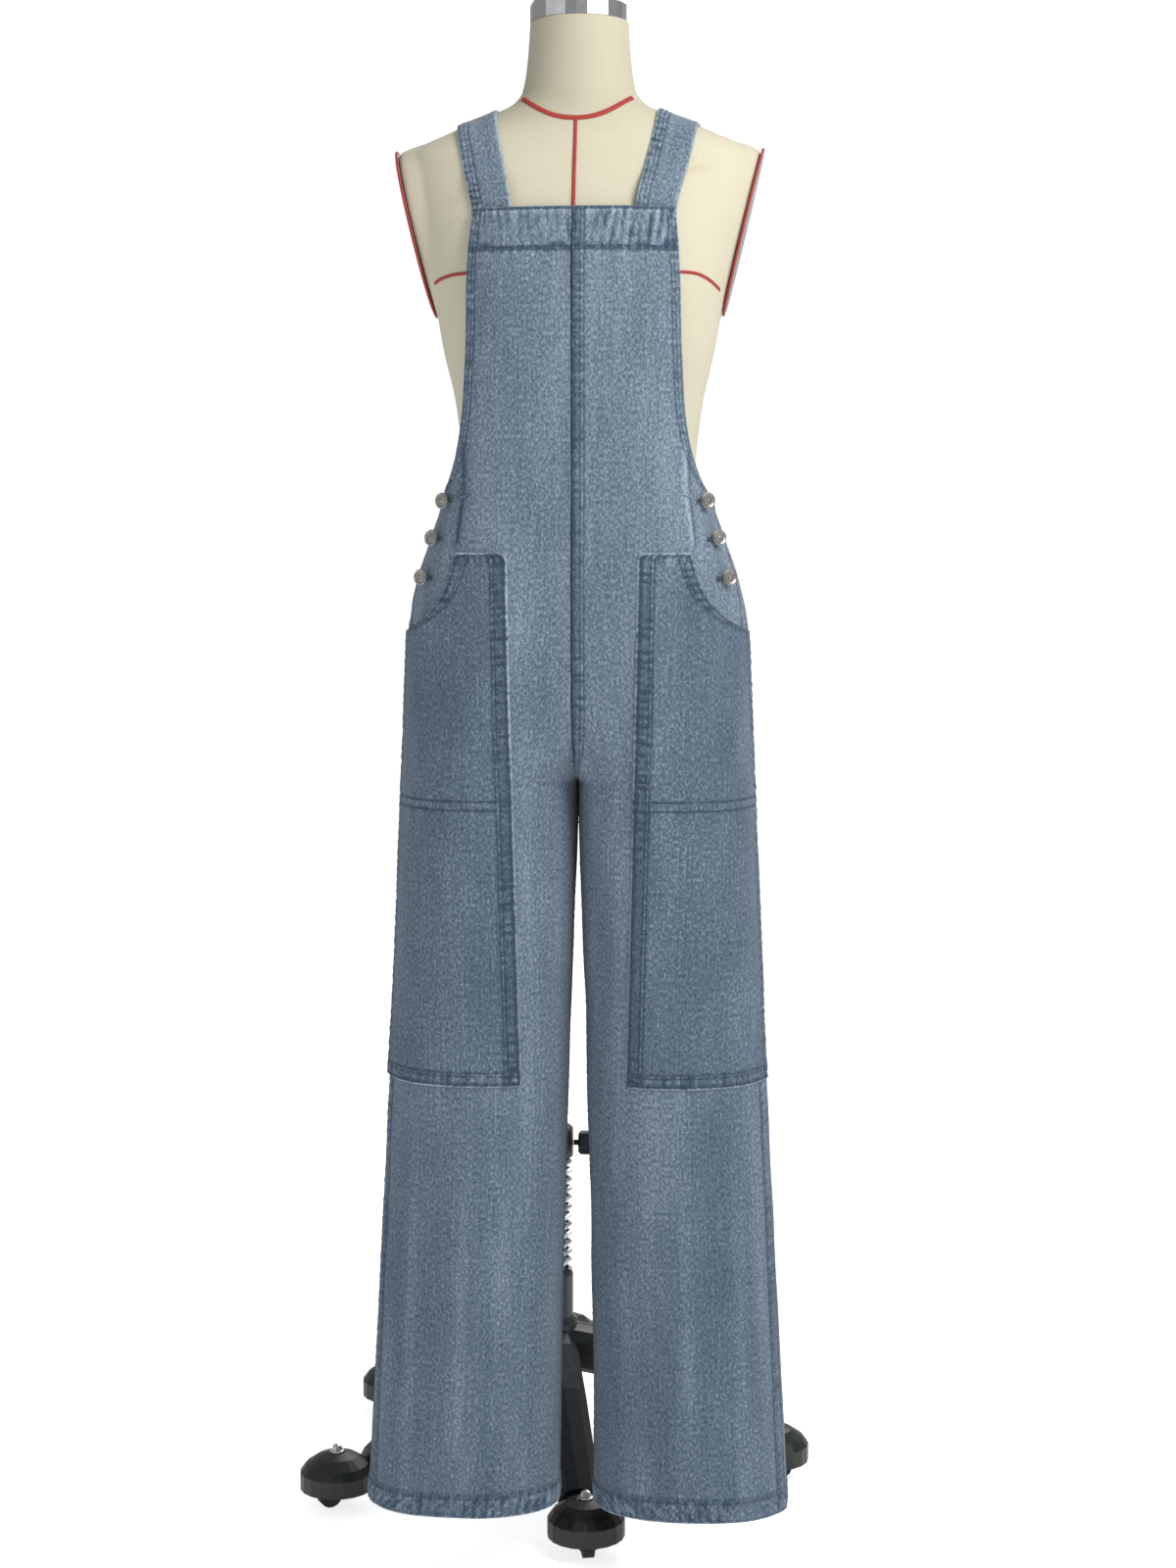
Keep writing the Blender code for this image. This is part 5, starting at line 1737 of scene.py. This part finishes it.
# ---- studio -----------------------------------------------------------------------
@dataclass
class Studio:
    """Pale floor, soft lights and the camera."""

    lens: float = 57.0
    distance: float = 2.5
    height: float = 1.032
    yaw: float = 3.5
    pitch: float = 3.0
    shift_x: float = 0.0055
    shift_y: float = -0.068
    air: float = 0.37
    seen_air: float = 1.05
    aim_height: float = 1.15
    floor_half: float = 40.0

    def floor(self) -> None:
        """A wide pale floor."""
        material, kit, shader = start_material("studio_paper")
        place = kit.add("ShaderNodeTexCoord").outputs["Object"]
        fleck = kit.noise(place, 3.0, 3.0, 0.5)
        paper = kit.mix(fleck, (0.90, 0.90, 0.90), (0.93, 0.93, 0.93))
        kit.tree.links.new(paper, shader.inputs["Base Color"])
        shader.inputs["Emission Color"].default_value = (1, 1, 1, 1)
        seen = kit.add("ShaderNodeLightPath").outputs["Is Camera Ray"]
        glow = kit.maths("ADD", 0.36, kit.maths("MULTIPLY", seen, 0.42))
        kit.tree.links.new(glow, shader.inputs["Emission Strength"])
        shader.inputs["Roughness"].default_value = 0.9
        mesh = bpy.data.meshes.new("studio_floor")
        far = self.floor_half
        corners = [(-far, -far, 0.0), (far, -far, 0.0), (far, far, 0.0), (-far, far, 0.0)]
        mesh.from_pydata(corners, [], [(0, 1, 2, 3)])
        mesh.materials.append(material)
        thing = bpy.data.objects.new("studio_floor", mesh)
        bpy.context.scene.collection.objects.link(thing)

    def lamp(self, name: str, place: Sequence, size: float, power: float, colour: Sequence) -> None:
        """A square soft light aimed at the garment."""
        light = bpy.data.lights.new(name, "AREA")
        light.shape = "SQUARE"
        light.size = size
        light.energy = power
        light.color = colour
        thing = bpy.data.objects.new(name, light)
        thing.location = place
        aim = np.append(LAYOUT.axis[:2], self.aim_height) - np.array(place)
        thing.rotation_euler = (math.acos(-aim[2] / np.linalg.norm(aim)), 0,
                                math.atan2(aim[1], aim[0]) - math.pi / 2)
        bpy.context.scene.collection.objects.link(thing)

    def build(self) -> None:
        """Build all of it and set the view."""
        self.floor()
        self.lamp("key", (1.35, -1.5, 2.45), 1.1, 41, (1.0, 0.985, 0.96))
        self.lamp("fill", (-2.6, -2.2, 1.7), 2.2, 8, (0.96, 0.98, 1.0))
        self.lamp("back_light", (0.6, 2.4, 2.6), 2.0, 34, (1.0, 1.0, 1.0))
        world = bpy.data.worlds.new("studio_air")
        world.use_nodes = True
        kit = NodeKit(world.node_tree)
        seen = kit.add("ShaderNodeLightPath").outputs["Is Camera Ray"]
        air = world.node_tree.nodes["Background"]
        kit.tree.links.new(kit.mix(seen, (0.93, 0.95, 1.0), (1.0, 1.0, 1.0)), air.inputs["Color"])
        strength = kit.maths("ADD", self.air, kit.maths("MULTIPLY", seen, self.seen_air - self.air))
        kit.tree.links.new(strength, air.inputs["Strength"])
        bpy.context.scene.world = world
        bpy.context.scene.view_settings.view_transform = "Standard"
        camera = bpy.data.cameras.new("camera")
        camera.lens = self.lens
        camera.sensor_width = 36
        camera.shift_x, camera.shift_y = self.shift_x, self.shift_y
        thing = bpy.data.objects.new("camera", camera)
        yaw = math.radians(self.yaw)
        thing.location = (LAYOUT.axis[0] + self.distance * math.sin(yaw),
                          LAYOUT.axis[1] - self.distance * math.cos(yaw), self.height)
        thing.rotation_euler = (math.radians(90 - self.pitch), 0, yaw)
        bpy.context.scene.collection.objects.link(thing)
        bpy.context.scene.camera = thing
        LOG.info("studio")


def main() -> None:
    """Build every sub-assembly in order."""
    logging.basicConfig(level=logging.INFO, format="%(message)s")
    denim = Denim().material()
    patch_denim = Denim("patch_denim", deep=(0.045, 0.074, 0.114),
                        middle=(0.126, 0.175, 0.232)).material()
    navy = Tape("navy_thread", (0.030, 0.045, 0.075)).material()
    pale = Tape("pale_thread", (0.62, 0.66, 0.70)).material()
    red = Tape("red_tape", (0.42, 0.045, 0.035)).material()
    silver = Hard("antique_silver", (0.42, 0.41, 0.38), (0.16, 0.155, 0.145), 0.34, 0.3, 1.0,
                  size=300.0, marks=0.7).material()
    garment = Garment(denim, patch_denim, navy)
    garment.panels()
    for side in Side:
        Strap(side, garment).build()
        Buttonholes(navy, silver).build(side)
    FrayedThreads(pale).build()
    DressForm(Linen().material(), red, red).build()
    steel = Hard("bright_steel_finish", (0.62, 0.62, 0.60), (0.40, 0.39, 0.37), 0.24, 0.25,
                 1.0).material()
    cast = Hard("black_cast_iron", (0.010, 0.012, 0.011), (0.050, 0.052, 0.050), 0.38, 0.25,
                bump=0.25, size=110.0).material()
    plastic = Hard("black_moulding", (0.014, 0.015, 0.016), (0.045, 0.045, 0.046), 0.45, 0.2).material()
    rubber = Hard("black_tyre", (0.018, 0.018, 0.018), (0.07, 0.068, 0.064), 0.7, 0.2).material()
    plate = Hard("grey_plate", (0.33, 0.34, 0.34), (0.22, 0.22, 0.215), 0.5, 0.2).material()
    finishes = {"neck_cap": steel, "neck_bolt": steel, "post": steel, "spring": steel,
                "arm_eye": cast, "hanger_arm": cast, "outer_tube": cast, "base_star": cast,
                "hub_sleeve": plastic, "clamp_collar": plastic, "clamp_knob": plastic,
                "armhole_plate_left": plate, "armhole_plate_right": plate}
    for side in Side:
        finishes.update({"button_%s_%d" % (side.word, i): silver for i in (1, 2, 3)})
    for i in range(1, 6):
        finishes.update({"foot_bolt_%d" % i: steel, "caster_fork_%d" % i: plastic,
                         "caster_wheel_%d" % i: rubber})
    Dresser(finishes).build()
    Studio().build()


if __name__ == "__main__":
    main()
